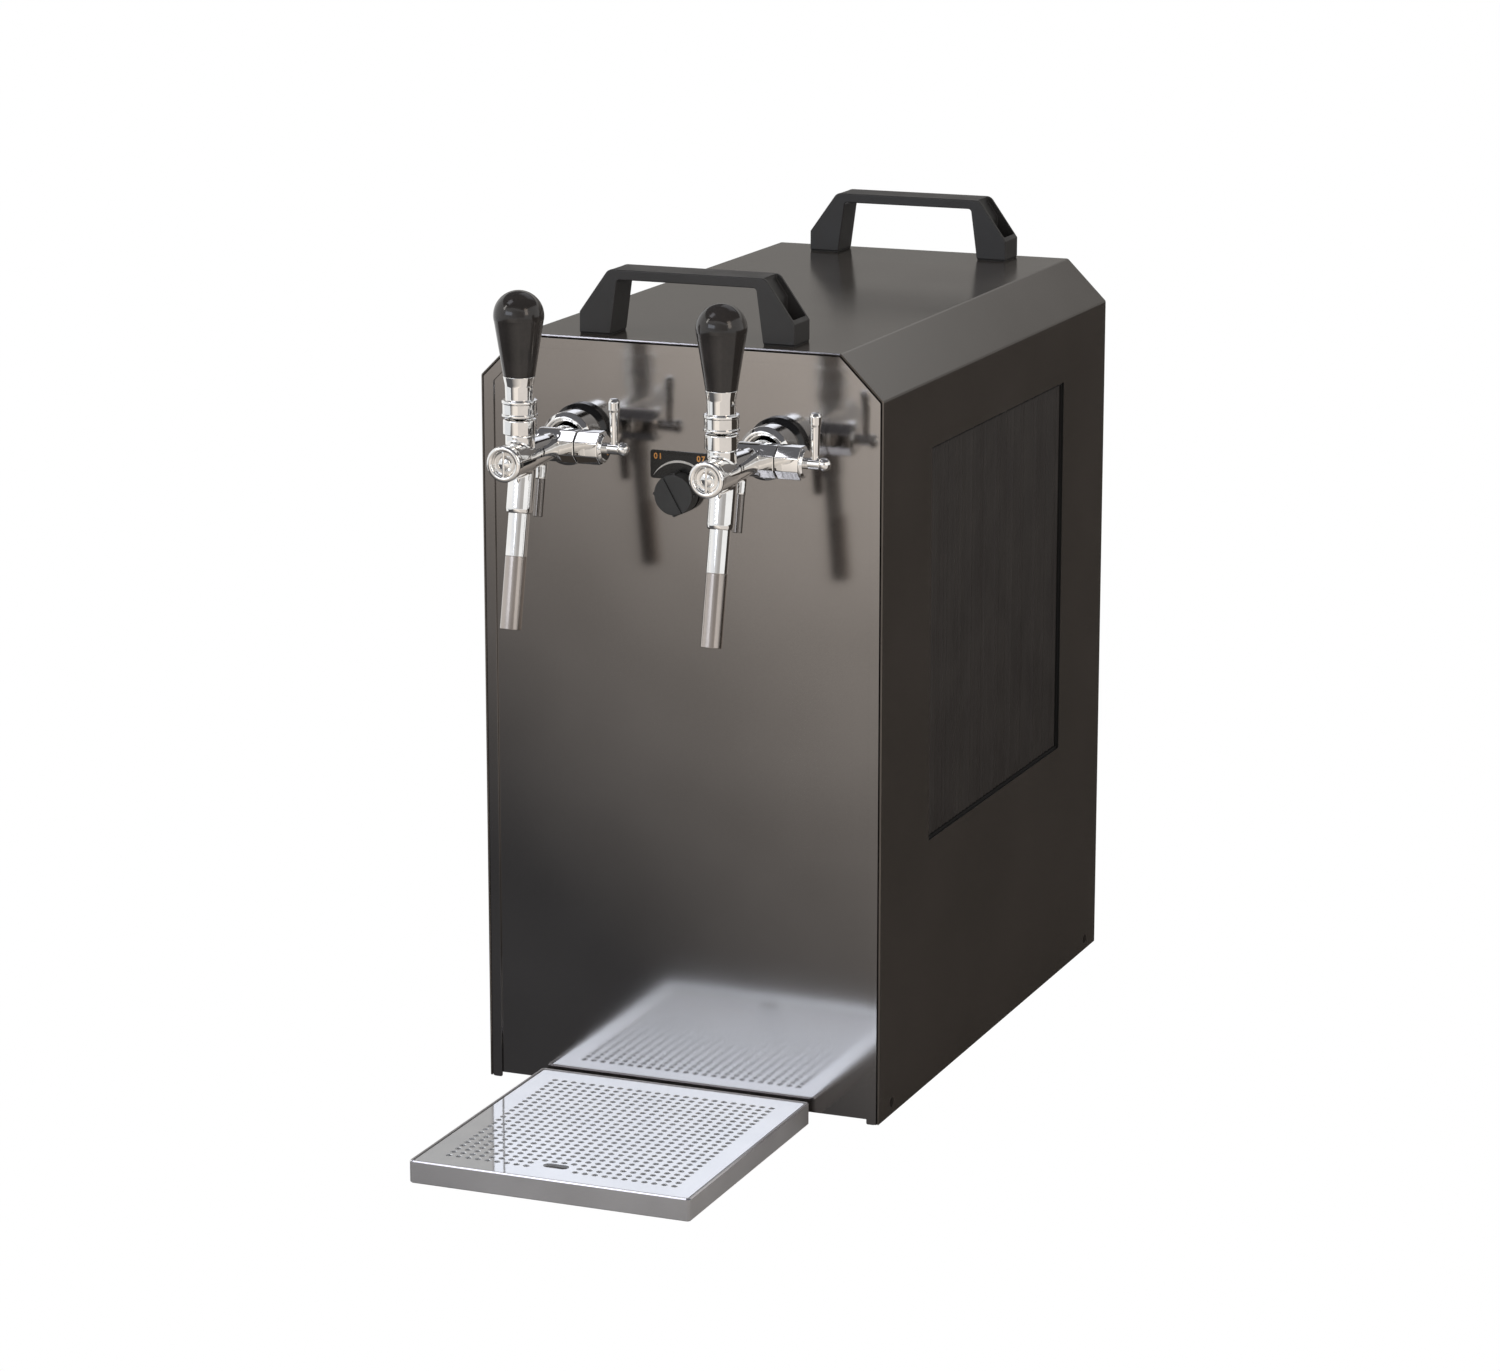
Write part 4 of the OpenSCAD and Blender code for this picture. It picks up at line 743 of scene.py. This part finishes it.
casting = fuse(arm, cross, neck, socket, root)
pick(casting)
bpy.ops.object.modifier_add(type="REMESH")
skin_step = casting.modifiers[-1]
skin_step.mode, skin_step.voxel_size = "VOXEL", 0.55 * MM
apply_last(casting)
bpy.ops.object.modifier_add(type="SMOOTH")
polish = casting.modifiers[-1]
polish.factor, polish.iterations = 0.6, 7
apply_last(casting)
print("casting", len(casting.data.polygons), "faces")

# %% Machined ends of the casting
RUN, SPOUT_R = 0.05, 7.0


def arc(mid, radius, start, end, steps=16):
    """Profile points on a ball round mid, from angle start to end in degrees."""
    turns = [math.radians(start + (end - start) * k / steps) for k in range(steps + 1)]
    return [(mid - radius * math.cos(t), radius * math.sin(t)) for t in turns]


def eight_sided(x0, x1, bevel):
    """An octagonal nut or boss along x, with a flat on top."""
    corners = [math.radians(45 * i + 22.5) for i in range(8)]
    ends = [at(TAP_X + x0, CROSS_Y + 11.8 * math.cos(t), TAP_Z + 11.8 * math.sin(t))
            for t in corners]
    return soften(plate(ends, Vector(((x1 - x0) * MM, 0, 0))), bevel, 2, 30)


fuse(casting, eight_sided(6.5, 19, 0.7))
cross_mid = at(TAP_X, CROSS_Y, TAP_Z)
cuts = [
    turned([(82, 0), (82, 8 + RUN), (122, 8 + RUN), (122, 0)], tap_axis, ALONG, 40),
    turned([(12, 0), (12, 4.5), (84, 4.5), (84, 0)], tap_axis, ALONG, 24),
    turned([(-6, 0), (-6, 6 + RUN), (15, 6 + RUN), (15, 8 + RUN), (22, 8 + RUN), (22, 0)],
           cross_mid, ACROSS, 40),
    turned(arc(0, 8 + RUN, 0, 180, 20), pivot, UP, 40),
    turned([(0, 0), (0, 5), (15, 5), (15, 0)], at(TAP_X, -REACH + 3.2, TAP_Z), UP, 24),
    turned([(0, 0), (0, 5), (15, 5), (15, 0)], at(TAP_X, -REACH - 1.2, TAP_Z), UP, 24),
    turned([(-8, 0), (-8, 4), (8, 4), (8, SPOUT_R + RUN), (24, SPOUT_R + RUN), (24, 0)],
           spout_top, DOWN, 32),
]
for tool in cuts:
    cut(casting, tool)
bpy.ops.object.mode_set(mode="EDIT")
bpy.ops.mesh.select_all(action="SELECT")
bpy.ops.mesh.fill_holes(sides=8)
casting = close_up()
pair(casting, "cast_body", chrome, "cooler", "tap_body", 40)

# %% Ball nut, cap, gland nut
ball_nut = turned(rounded([(-3, 9.1), (-3, 11), (7, 11), (7, 6.9), (3.6, 7.3), (0.3, 8.1),
                           (0.3, 9.1), (-3, 9.1)], [0, 0.4, 1.2, 0.3, 0, 0, 0, 0]),
                  pivot, UP, 64)
both = joined(ball_nut, twin(ball_nut, GAP))
hand_over(both, "ball_nuts", chrome, "cooler", ["bonnet_nuts"])
cap = turned(rounded([(116.5, 0), (116.5, 8), (119, 8), (119, 12), (124, 12), (124, 8.4),
                      (120.2, 7.7), (120.2, 5.4), (122.4, 4.2), (123.4, 0)],
                     [0, 0, 0, 0.4, 1.7, 1.6, 0.8, 0.4, 2.5, 0], 6), tap_axis, ALONG, 64)
rib = soften(block((TAP_X - 0.8, -123.7, TAP_Z - 8.2),
                   (TAP_X + 0.8, -120, TAP_Z + 8.2)), 0.4, 2)
pair(fuse(cap, rib), "dished_cap", chrome, "cooler", "tap_cap")
gland = fuse(eight_sided(19.5, 36, 0.7),
             turned(rounded([(30, 0), (30, 10), (36.4, 10), (38, 8.6), (38, 0)],
                            [0, 0, 1, 0.6, 0]), cross_mid, ACROSS, 48),
             turned([(15, 0), (15, 8), (21, 8), (21, 0)], cross_mid, ACROSS, 48))
cut(gland, turned([(10, 0), (10, 3.85), (40, 3.85), (40, 0)], cross_mid, ACROSS, 32))
pair(gland, "gland", chrome, "cooler", "gland_nut")

# %% Compensator with its pin
stem = turned([(-5, 0), (-5, 6), (14.7, 6), (14.7, 3.8), (45.5, 3.8), *arc(50, 4.5, 55, 180)],
              cross_mid, ACROSS, 40)
pin = turned(rounded([(0, 0), (0, 2.4), (24.5, 3.3), (26, 3.9), (31.2, 3.9), (33.5, 2.6),
                      (33.5, 0)], [0, 0, 1, 0.8, 1.6, 0.8, 0]),
             at(TAP_X + 44, CROSS_Y, TAP_Z), UP, 40)
stem = fuse(stem, pin)
cut(stem, turned([(-8, 0), (-8, 4), (8, 4), (8, 0)], cross_mid, ALONG, 24))
pair(soften(stem, 0.25, 2, 50), "flow_stem", chrome, "{}_compensator_pin",
     "compensator")

# %% [markdown]
# The lever is turned from one bar: finger, ball, hollow skirt, sleeve with a
# ring at each end, a flared neck and the stud that the knob screws on. The
# knob is compression-moulded phenolic, so it is glossy and has no seam.

# %% Lever and knob
lever_line = [*arc(-14, 2.4, 0, 131, 6), *arc(0, 8, 13, 158, 18)]
lever_line += [(13.34 * math.cos(math.radians(t)), 13.34 * math.sin(math.radians(t)))
               for t in (13, 20, 28, 36, 44, 50.4)]
lever_line += rounded([(8.5, 10.28), (8.5, 11.75), (10.4, 11.75), (10.4, 11.2), (17.2, 11.2),
                       (17.2, 11.7), (19.5, 11.7), (19.5, 9.3), (29, 9.5), (35, 10.7),
                       (35, 4), (51, 4), (51, 0)],
                      [0, 0.5, 0.5, 0.3, 0.3, 0.5, 0.8, 0.5, 8, 0.3, 0, 0.5, 0])[1:]
lever = turned(lever_line, pivot, UP, 72)
cut(lever, turned([(8.6, 0), (8.6, 1.5), (12, 1.5), (12, 0)],
                  pivot + UP * (27 * MM), (0.94, -0.34, 0), 16))
pair(lever, "lever_sleeve", chrome, "{}_lever", "tap_lever", 30)
knob_line = [(17.05, 0), (17.05, 4.05), *rounded(
    [(0, 4.05), (0, 10.4), (34.8, 15.95), (36.6, 16.3), (37, 16.42)],
    [0, 0.5, 1.5, 0.6, 0])]
knob_line += arc(39.4, 16.6, 82, 180, 28)
knob = turned(knob_line, pivot + UP * (35 * MM), UP, 72)
pair(knob, "pear_knob", phenolic, "{}_lever", "tap_knob", 30)

# %% Spouts and vent tubes
spout = turned(rounded([(8.5, 5), (8.5, SPOUT_R), (50.07, SPOUT_R), (50.07, 5), (8.5, 5)],
                       [0, 0.3, 0.25, 0, 0]), spout_top, DOWN, 56)
pair(spout, "spout_tube", chrome, "cooler", "spout")
tip = turned(rounded([(42.1, 4), (42.1, 4.95), (50.1, 4.95), (50.1, SPOUT_R), (98.0, SPOUT_R),
                      (98.0, 5.1), (52.1, 5), (52.1, 4), (42.1, 4)],
                     [0, 0, 0, 0.25, 0.4, 0.3, 0, 0, 0]), spout_top, DOWN, 56)
hand_over(joined(tip, twin(tip, GAP)), "turned_tips", tip_steel, "cooler",
          ["spout_tips"])
vent = turned(rounded([(0.5, 2.2), (0.5, 3.2), (38.3, 3.2), (38.3, 2.2), (0.5, 2.2)],
                      [0, 0, 0.4, 0.3, 0]),
              at(TAP_X, -REACH + 34, TAP_Z - 6.5), DOWN, 40)
hand_over(joined(vent, twin(vent, GAP)), "breather_tubes", vent_steel_painted_shade, "cooler",
          ["vent_tubes"])

# %% [markdown]
# ## Thermostat
# The knob is a moulded cap with four small nibs and one leaning groove that
# points at the setting. It stands in front of a printed plate with a raised
# rim. The maker's lettering is left out: two plain numbers mark the ends of
# the range, and the tapered arc between them says which way is colder.

# %% Knob
DIAL_R, DIAL_Y, DIAL_T = 14, 0.2, 11
dial = turned(rounded([(-DIAL_Y, 0), (-DIAL_Y, DIAL_R), (DIAL_T - DIAL_Y, DIAL_R - 0.3),
                       (DIAL_T - DIAL_Y, 0)], [0, 0.3, 0.7, 0], 4),
              at(0, 0, DIAL_Z), ALONG, 96)
for i in range(4):
    turn = math.radians(90 * i)
    mid = (DIAL_R * math.cos(turn), DIAL_Z + DIAL_R * math.sin(turn))
    nib = [(mid[0] + 1.1 * math.cos(t), mid[1] + 1.1 * math.sin(t))
           for t in (math.radians(45 * k + 22.5) for k in range(8))]
    fuse(dial, upright(nib, 1.5 - DIAL_T + DIAL_Y, DIAL_Y - 0.4))
lean = math.radians(30)
groove = [(x * math.cos(lean) - z * math.sin(lean),
           DIAL_Z + x * math.sin(lean) + z * math.cos(lean))
          for x, z in ((-0.8, -17), (0.8, -17), (0.8, 17), (-0.8, 17))]
cut(dial, upright(groove, DIAL_Y - DIAL_T - 1, DIAL_Y - DIAL_T + 1.2))
cut(dial, turned([(-1, 0), (-1, 3.05), (DIAL_T - 3.2, 3.05), (DIAL_T - 3.2, 0)],
                 at(0, 0, DIAL_Z), ALONG, 24))
soften(dial, 0.2, 2, 50)
hand_over(dial, "dial_knob", dial_abs, "thermostat_dial", ["thermostat_knob"])

# %% Printed plate
PLATE_W, PLATE_LOW, PLATE_HIGH, PLATE_Y = 42, 438, 457, 0.5
corners = [(-PLATE_W / 2, PLATE_LOW), (PLATE_W / 2, PLATE_LOW),
           (PLATE_W / 2, PLATE_HIGH), (-PLATE_W / 2, PLATE_HIGH)]
card_line = rounded(corners, [2, 2, 1.5, 1.5], closed=True)
label = upright(card_line, PLATE_Y, PLATE_Y + 1)
sunk = [(-PLATE_W / 2 + 1.8, PLATE_LOW + 1.8), (PLATE_W / 2 - 1.8, PLATE_LOW + 1.8),
        (PLATE_W / 2 - 1.8, PLATE_HIGH - 1.6), (-PLATE_W / 2 + 1.8, PLATE_HIGH - 1.6)]
cut(label, upright(rounded(sunk, [1, 1, 0.8, 0.8], closed=True), PLATE_Y - 1, PLATE_Y + 0.25))
cut(label, turned([(-3, 0), (-3, 5.6), (3, 5.6), (3, 0)], at(0, 0, DIAL_Z), ALONG, 32))
soften(label, 0.12, 2, 50)
hand_over(label, "dial_card", label_black, "cooler", ["dial_plate"])
INK_Y = PLATE_Y + 0.25


def print_on(outline, name, ink):
    """A thin layer of ink on the plate."""
    return hand_over(upright(outline, INK_Y - 0.06, INK_Y + 0.02), name, ink, "cooler")


sweep = [math.radians(150 - 3 * k) for k in range(41)]
outer_arc = [(21.6 * math.cos(t), DIAL_Z + 21.6 * math.sin(t)) for t in sweep]
thick = [0.1 + 1.5 * math.sin(math.pi * k / 40) for k in range(41)]
inner_arc = [((21.6 - w) * math.cos(t), DIAL_Z + (21.6 - w) * math.sin(t))
             for t, w in zip(sweep, thick)]
print_on(outer_arc + inner_arc[::-1], "arc_print", print_white)
for x, words in ((-15.5, "01"), (15.5, "07")):
    bpy.ops.object.text_add(location=at(x, INK_Y - 0.05, 451.3), rotation=(math.pi / 2, 0, 0))
    figures = bpy.context.object
    figures.data.body, figures.data.size = words, 5.4 * MM
    figures.data.align_x, figures.data.extrude = "CENTER", 0.04 * MM
    figures.data.space_character, figures.data.offset = 1.25, 0.15 * MM
    pick(figures)
    bpy.ops.object.convert(target="MESH")
    bpy.ops.object.mode_set(mode="EDIT")
    hand_over(close_up(), f"figures_{words}", print_orange, "cooler")

# %% [markdown]
# ## Drip tray and grille
# The tray is folded from satin stainless steel with a ledge inside its rim.
# The perforated grille lies on the ledge. A punch presses each hole and leaves
# a small rounded lip, so one punch is drawn and set out in rows.

# %% Tray
TRAY_X, TRAY_Y, TRAY_H, GRILLE_Z = (-104, 96), (-212, -2.5), 15.5, 13


def box_line(x, y, inset, radius):
    """A rectangle with round corners, moved inwards by inset."""
    line = [(x[0] + inset, y[0] + inset), (x[1] - inset, y[0] + inset),
            (x[1] - inset, y[1] - inset), (x[0] + inset, y[1] - inset)]
    return rounded(line, [radius] * 4, steps=6, closed=True)


tray = lying(box_line(TRAY_X, TRAY_Y, 0, 3), 0, TRAY_H)
soften(tray, 0.8, 1, 50)
cut(tray, lying(box_line(TRAY_X, TRAY_Y, 6, 2), 2, TRAY_H + 5))
cut(tray, lying(box_line(TRAY_X, TRAY_Y, 2, 1.2), GRILLE_Z, TRAY_H + 5))
for material in (tray_steel, bevel_painted_highlight):
    tray.data.materials.append(material)
# Faces of the tray's top rim get the painted highlight.
for face in tray.data.polygons:
    face.material_index = face.center.z > (TRAY_H - 0.85) * MM and 0.2 < face.normal.z < 0.95
soften(tray, 0.2, 1, 50)
hand_over(tray, "folded_tray", tray_steel, "tray", ["drip_tray"])

# %% Grille
PITCH, HOLE_R, GRILLE_T = 7, 2.1, 2
low_g, high_g = mm_box("drip_grille")
span = ((low_g.x, high_g.x), (low_g.y, high_g.y))
middle = (low_g + high_g) / 2
counts = [int((b - a - 22) // PITCH) for a, b in span]
first = [middle[i] - (counts[i] - 1) * PITCH / 2 for i in (0, 1)]
sheet = soften(lying(box_line(*span, 0, 2), GRILLE_Z, GRILLE_Z + GRILLE_T), 0.2, 2, 50)
punch = turned([(-1, 0), (-1, HOLE_R), (GRILLE_T - 0.3, HOLE_R), (GRILLE_T, HOLE_R + 0.25),
                (GRILLE_T + 1, HOLE_R + 0.25), (GRILLE_T + 1, 0)],
               at(first[0], first[1], GRILLE_Z), UP, 12)
for axis in (0, 1):
    pick(punch)
    bpy.ops.object.modifier_add(type="ARRAY")
    rows = punch.modifiers[-1]
    rows.count, rows.use_relative_offset, rows.use_constant_offset = counts[axis], False, True
    rows.constant_offset_displace = (PITCH * MM * (axis == 0), PITCH * MM * (axis == 1), 0)
    apply_last(punch)
print(counts, "holes across and along")

# %% Finger slot and the finished grille
SLOT_X, SLOT_Y, SLOT_L, SLOT_W = -10, -185.2, 18, 8
keep = (SLOT_L / 2 + HOLE_R + 1.5, SLOT_W / 2 + HOLE_R + 1.5)
slot_mid = at(SLOT_X, SLOT_Y, GRILLE_Z)
pick(punch)
for flat in (punch.data.polygons, punch.data.edges):
    flat.foreach_set("select", [False] * len(flat))
for vertex in punch.data.vertices:
    off = (vertex.co - slot_mid) / MM
    near = [PITCH * round((off[i] + slot_mid[i] / MM - at(*first, 0)[i] / MM) / PITCH)
            + at(*first, 0)[i] / MM - slot_mid[i] / MM for i in (0, 1)]
    vertex.select = abs(near[0]) <= keep[0] and abs(near[1]) <= keep[1]
bpy.ops.object.mode_set(mode="EDIT")
bpy.ops.mesh.delete(type="VERT")
bpy.ops.object.mode_set(mode="OBJECT")
slot = [(SLOT_X - SLOT_L / 2, SLOT_Y - SLOT_W / 2), (SLOT_X + SLOT_L / 2, SLOT_Y - SLOT_W / 2),
        (SLOT_X + SLOT_L / 2, SLOT_Y + SLOT_W / 2), (SLOT_X - SLOT_L / 2, SLOT_Y + SLOT_W / 2)]
slot = rounded(slot, [SLOT_W / 2 - 0.01] * 4, steps=8, closed=True)
cut(sheet, joined(punch, lying(slot, GRILLE_Z - 1, GRILLE_Z + GRILLE_T + 1)))
hand_over(sheet, "pressed_grille", grille_steel_painted_sheen, "grille", ["drip_grille"])

# %% [markdown]
# ## Studio
# The photograph is a studio picture on pure white. The world is white to the
# camera, to gloss and to glass, and gives a plain soft light to everything
# else. The floor is a pale plane, white to the camera like the world. Polished
# metal shows whatever stands round it, so a photographer lays dark card on
# the table in front of it, out of the picture: the lower half of every
# mirror-like surface then reads dark, with a soft edge towards the white.


# %% World and floor
def seen_straight(tree):
    """1 for a ray from the camera, from gloss or through glass, else 0."""
    path = add(tree, "ShaderNodeLightPath")
    seen = add(tree, "ShaderNodeMath", {0: path.outputs["Is Camera Ray"],
                                        1: path.outputs["Is Glossy Ray"]}, operation="ADD")
    return add(tree, "ShaderNodeMath", {0: seen.outputs[0],
                                        1: path.outputs["Is Transmission Ray"]},
               operation="ADD", use_clamp=True).outputs[0]


def studio_world(light):
    """White for what looks at it, a plain light level for what it lights."""
    world = bpy.data.worlds.new("studio")
    bpy.context.scene.world = world
    world.use_nodes = True
    tree = world.node_tree
    tree.nodes.clear()
    level = add(tree, "ShaderNodeMapRange", {
        "Value": seen_straight(tree), "To Min": light, "To Max": 1.0})
    shade = add(tree, "ShaderNodeBackground", {
        "Color": (1, 1, 1, 1), "Strength": level.outputs["Result"]})
    out = add(tree, "ShaderNodeOutputWorld")
    tree.links.new(shade.outputs[0], out.inputs["Surface"])


def studio_floor():
    """A pale plane: white to the eye, to gloss and to glass, pale grey to bounced light."""
    bpy.ops.mesh.primitive_plane_add(size=60, location=(0, 0, -0.0002))
    floor = bpy.context.object
    floor.name = "studio_floor"
    made, tree, shader = blank("pale_floor")
    tree.nodes.remove(shader)
    paint = add(tree, "ShaderNodeBsdfDiffuse", {"Color": tint("#e8e8e8")})
    glow = add(tree, "ShaderNodeEmission", {"Color": (1, 1, 1, 1), "Strength": 1.0})
    mixed = add(tree, "ShaderNodeMixShader", {0: seen_straight(tree)})
    tree.links.new(paint.outputs[0], mixed.inputs[1])
    tree.links.new(glow.outputs[0], mixed.inputs[2])
    tree.links.new(mixed.outputs[0], tree.nodes["Material Output"].inputs["Surface"])
    floor.data.materials.append(made)


ROOM_LIGHT = 0.54
studio_world(ROOM_LIGHT)
studio_floor()
print("studio floor laid")


# %% [markdown]
# The polished front goes from a warm light tone at its top right to a dark
# one at its bottom left. A mirror of this kind shows the table in front of
# it, nearer at the bottom and farther at the top, so the card there goes from
# dark to light in that direction. Pale cards to its left and right give the
# chrome light flanks, and dark ones beside the cooler keep its sides dark. A
# grey wall behind shows in the top of the casing at its grazing angle, lighter
# where the slopes look, and a wall in front and a ceiling close the room.


# %% Cards round the cooler, seen only by polished surfaces
def card(name, size, location, rotation, colours, slope=(0, 0), start=0.0):
    """A flat card that shows only in reflections; its light may grow along a slope."""
    bpy.ops.mesh.primitive_plane_add(size=1, location=location, rotation=rotation)
    made = bpy.context.object
    made.name = name
    made.scale = (*size, 1)
    bpy.ops.object.transform_apply(location=False, rotation=False, scale=True)
    paint, tree, shader = blank(name + "_paint")
    tree.nodes.remove(shader)
    place = add(tree, "ShaderNodeTexCoord").outputs["Object"]
    along = add(tree, "ShaderNodeVectorMath", {0: place, 1: (*slope, 0)},
                operation="DOT_PRODUCT").outputs["Value"]
    level = add(tree, "ShaderNodeMath", {0: along, 1: start}, operation="ADD",
                use_clamp=True).outputs[0]
    mixed = add(tree, "ShaderNodeMix", {"Factor": level}, data_type="RGBA")
    mixed.inputs[6].default_value, mixed.inputs[7].default_value = map(tint, colours)
    glow = add(tree, "ShaderNodeEmission", {"Color": mixed.outputs[2], "Strength": 1.0})
    tree.links.new(glow.outputs[0], tree.nodes["Material Output"].inputs["Surface"])
    made.data.materials.append(paint)
    made.visible_camera = False
    made.visible_diffuse = False
    made.visible_shadow = False
    made.visible_transmission = False


FLAT, FACE_BACK, FACE_FRONT = (0, 0, 0), (-math.pi / 2, 0, 0), (math.pi / 2, 0, 0)
card("table_card", (2.2, 2.2), (0, 0, -0.0001), FLAT, ("#3b3632", "#3b3632"))
card("side_card", (5, 6), (2.7, 2.7, -0.0001), FLAT, ("#3e3935", "#3e3935"))
card("front_card", (5.4, 4.2), (-0.7, -2.24, 0.0), FLAT, ("#58585a", "#fff6ed"),
     (0.8, -0.66), 0.78)
card("pale_right_card", (2.6, 4.2), (1.75, -2.24, 0.001), FLAT, ("#e2dbd5", "#e2dbd5"))
card("pale_left_card", (3, 4.5), (-3.4, -2.0, 0.001), FLAT, ("#eef1f4", "#eef1f4"))
card("front_wall", (12, 3.2), (0, -5.2, 1.9), FACE_BACK, ("#b3b0ae", "#f6f8fc"),
     (-0.2, 0), 0.5)
card("grey_wall", (9, 3), (0, 4.5, 1.5), FACE_FRONT, ("#9a9793", "#f4f1ed"),
     (0, 2.6), -1.28)
card("ceiling", (7, 7), (0, 0.5, 3.0), FLAT, ("#646468", "#646468"))
print("cards set up")


# %% [markdown]
# Softboxes light it: a long one low on the left that whitens the grille, one
# higher up, a warm fill on the right, a weak one behind, and one above the
# front left, which the top bevel mirrors as a thin bright line.


# %% Lamps
def softbox(name, size, location, target, glow, colour):
    """A square soft light of a given glow that points at a target."""
    bpy.ops.object.light_add(type="AREA", location=location)
    lamp = bpy.context.object
    lamp.name = name
    lamp.data.shape = "RECTANGLE"
    lamp.data.size, lamp.data.size_y = size
    lamp.data.energy = glow * math.pi * size[0] * size[1]
    lamp.data.color = tint(colour)[:3]
    aim = Vector(target) - lamp.location
    lamp.rotation_euler = aim.to_track_quat("-Z", "Y").to_euler()


softbox("key_left", (2.0, 0.8), (-1.35, -3.3, 1.45), (0, -0.2, 0.1), 2.8, "#e6efff")
softbox("window_left", (0.45, 0.9), (-2.3, -1.9, 2.3), (0, -0.2, 0.4), 6.0, "#fffaf4")
softbox("fill_right", (0.8, 1.6), (2.6, -1.6, 1.8), (0, 0, 0.3), 3.0, "#ffeedd")
softbox("top_back", (1.6, 1.2), (0.2, 1.6, 2.6), (0, 0, 0.4), 0.6, "#f4f7ff")
softbox("top_front", (0.8, 1.3), (-1.02, -0.95, 2.9), (0, -0.15, 0.5), 2.2, "#f6f6ff")
print("lamps hung")

# %% Picture settings
bpy.context.scene.view_settings.view_transform = "Standard"
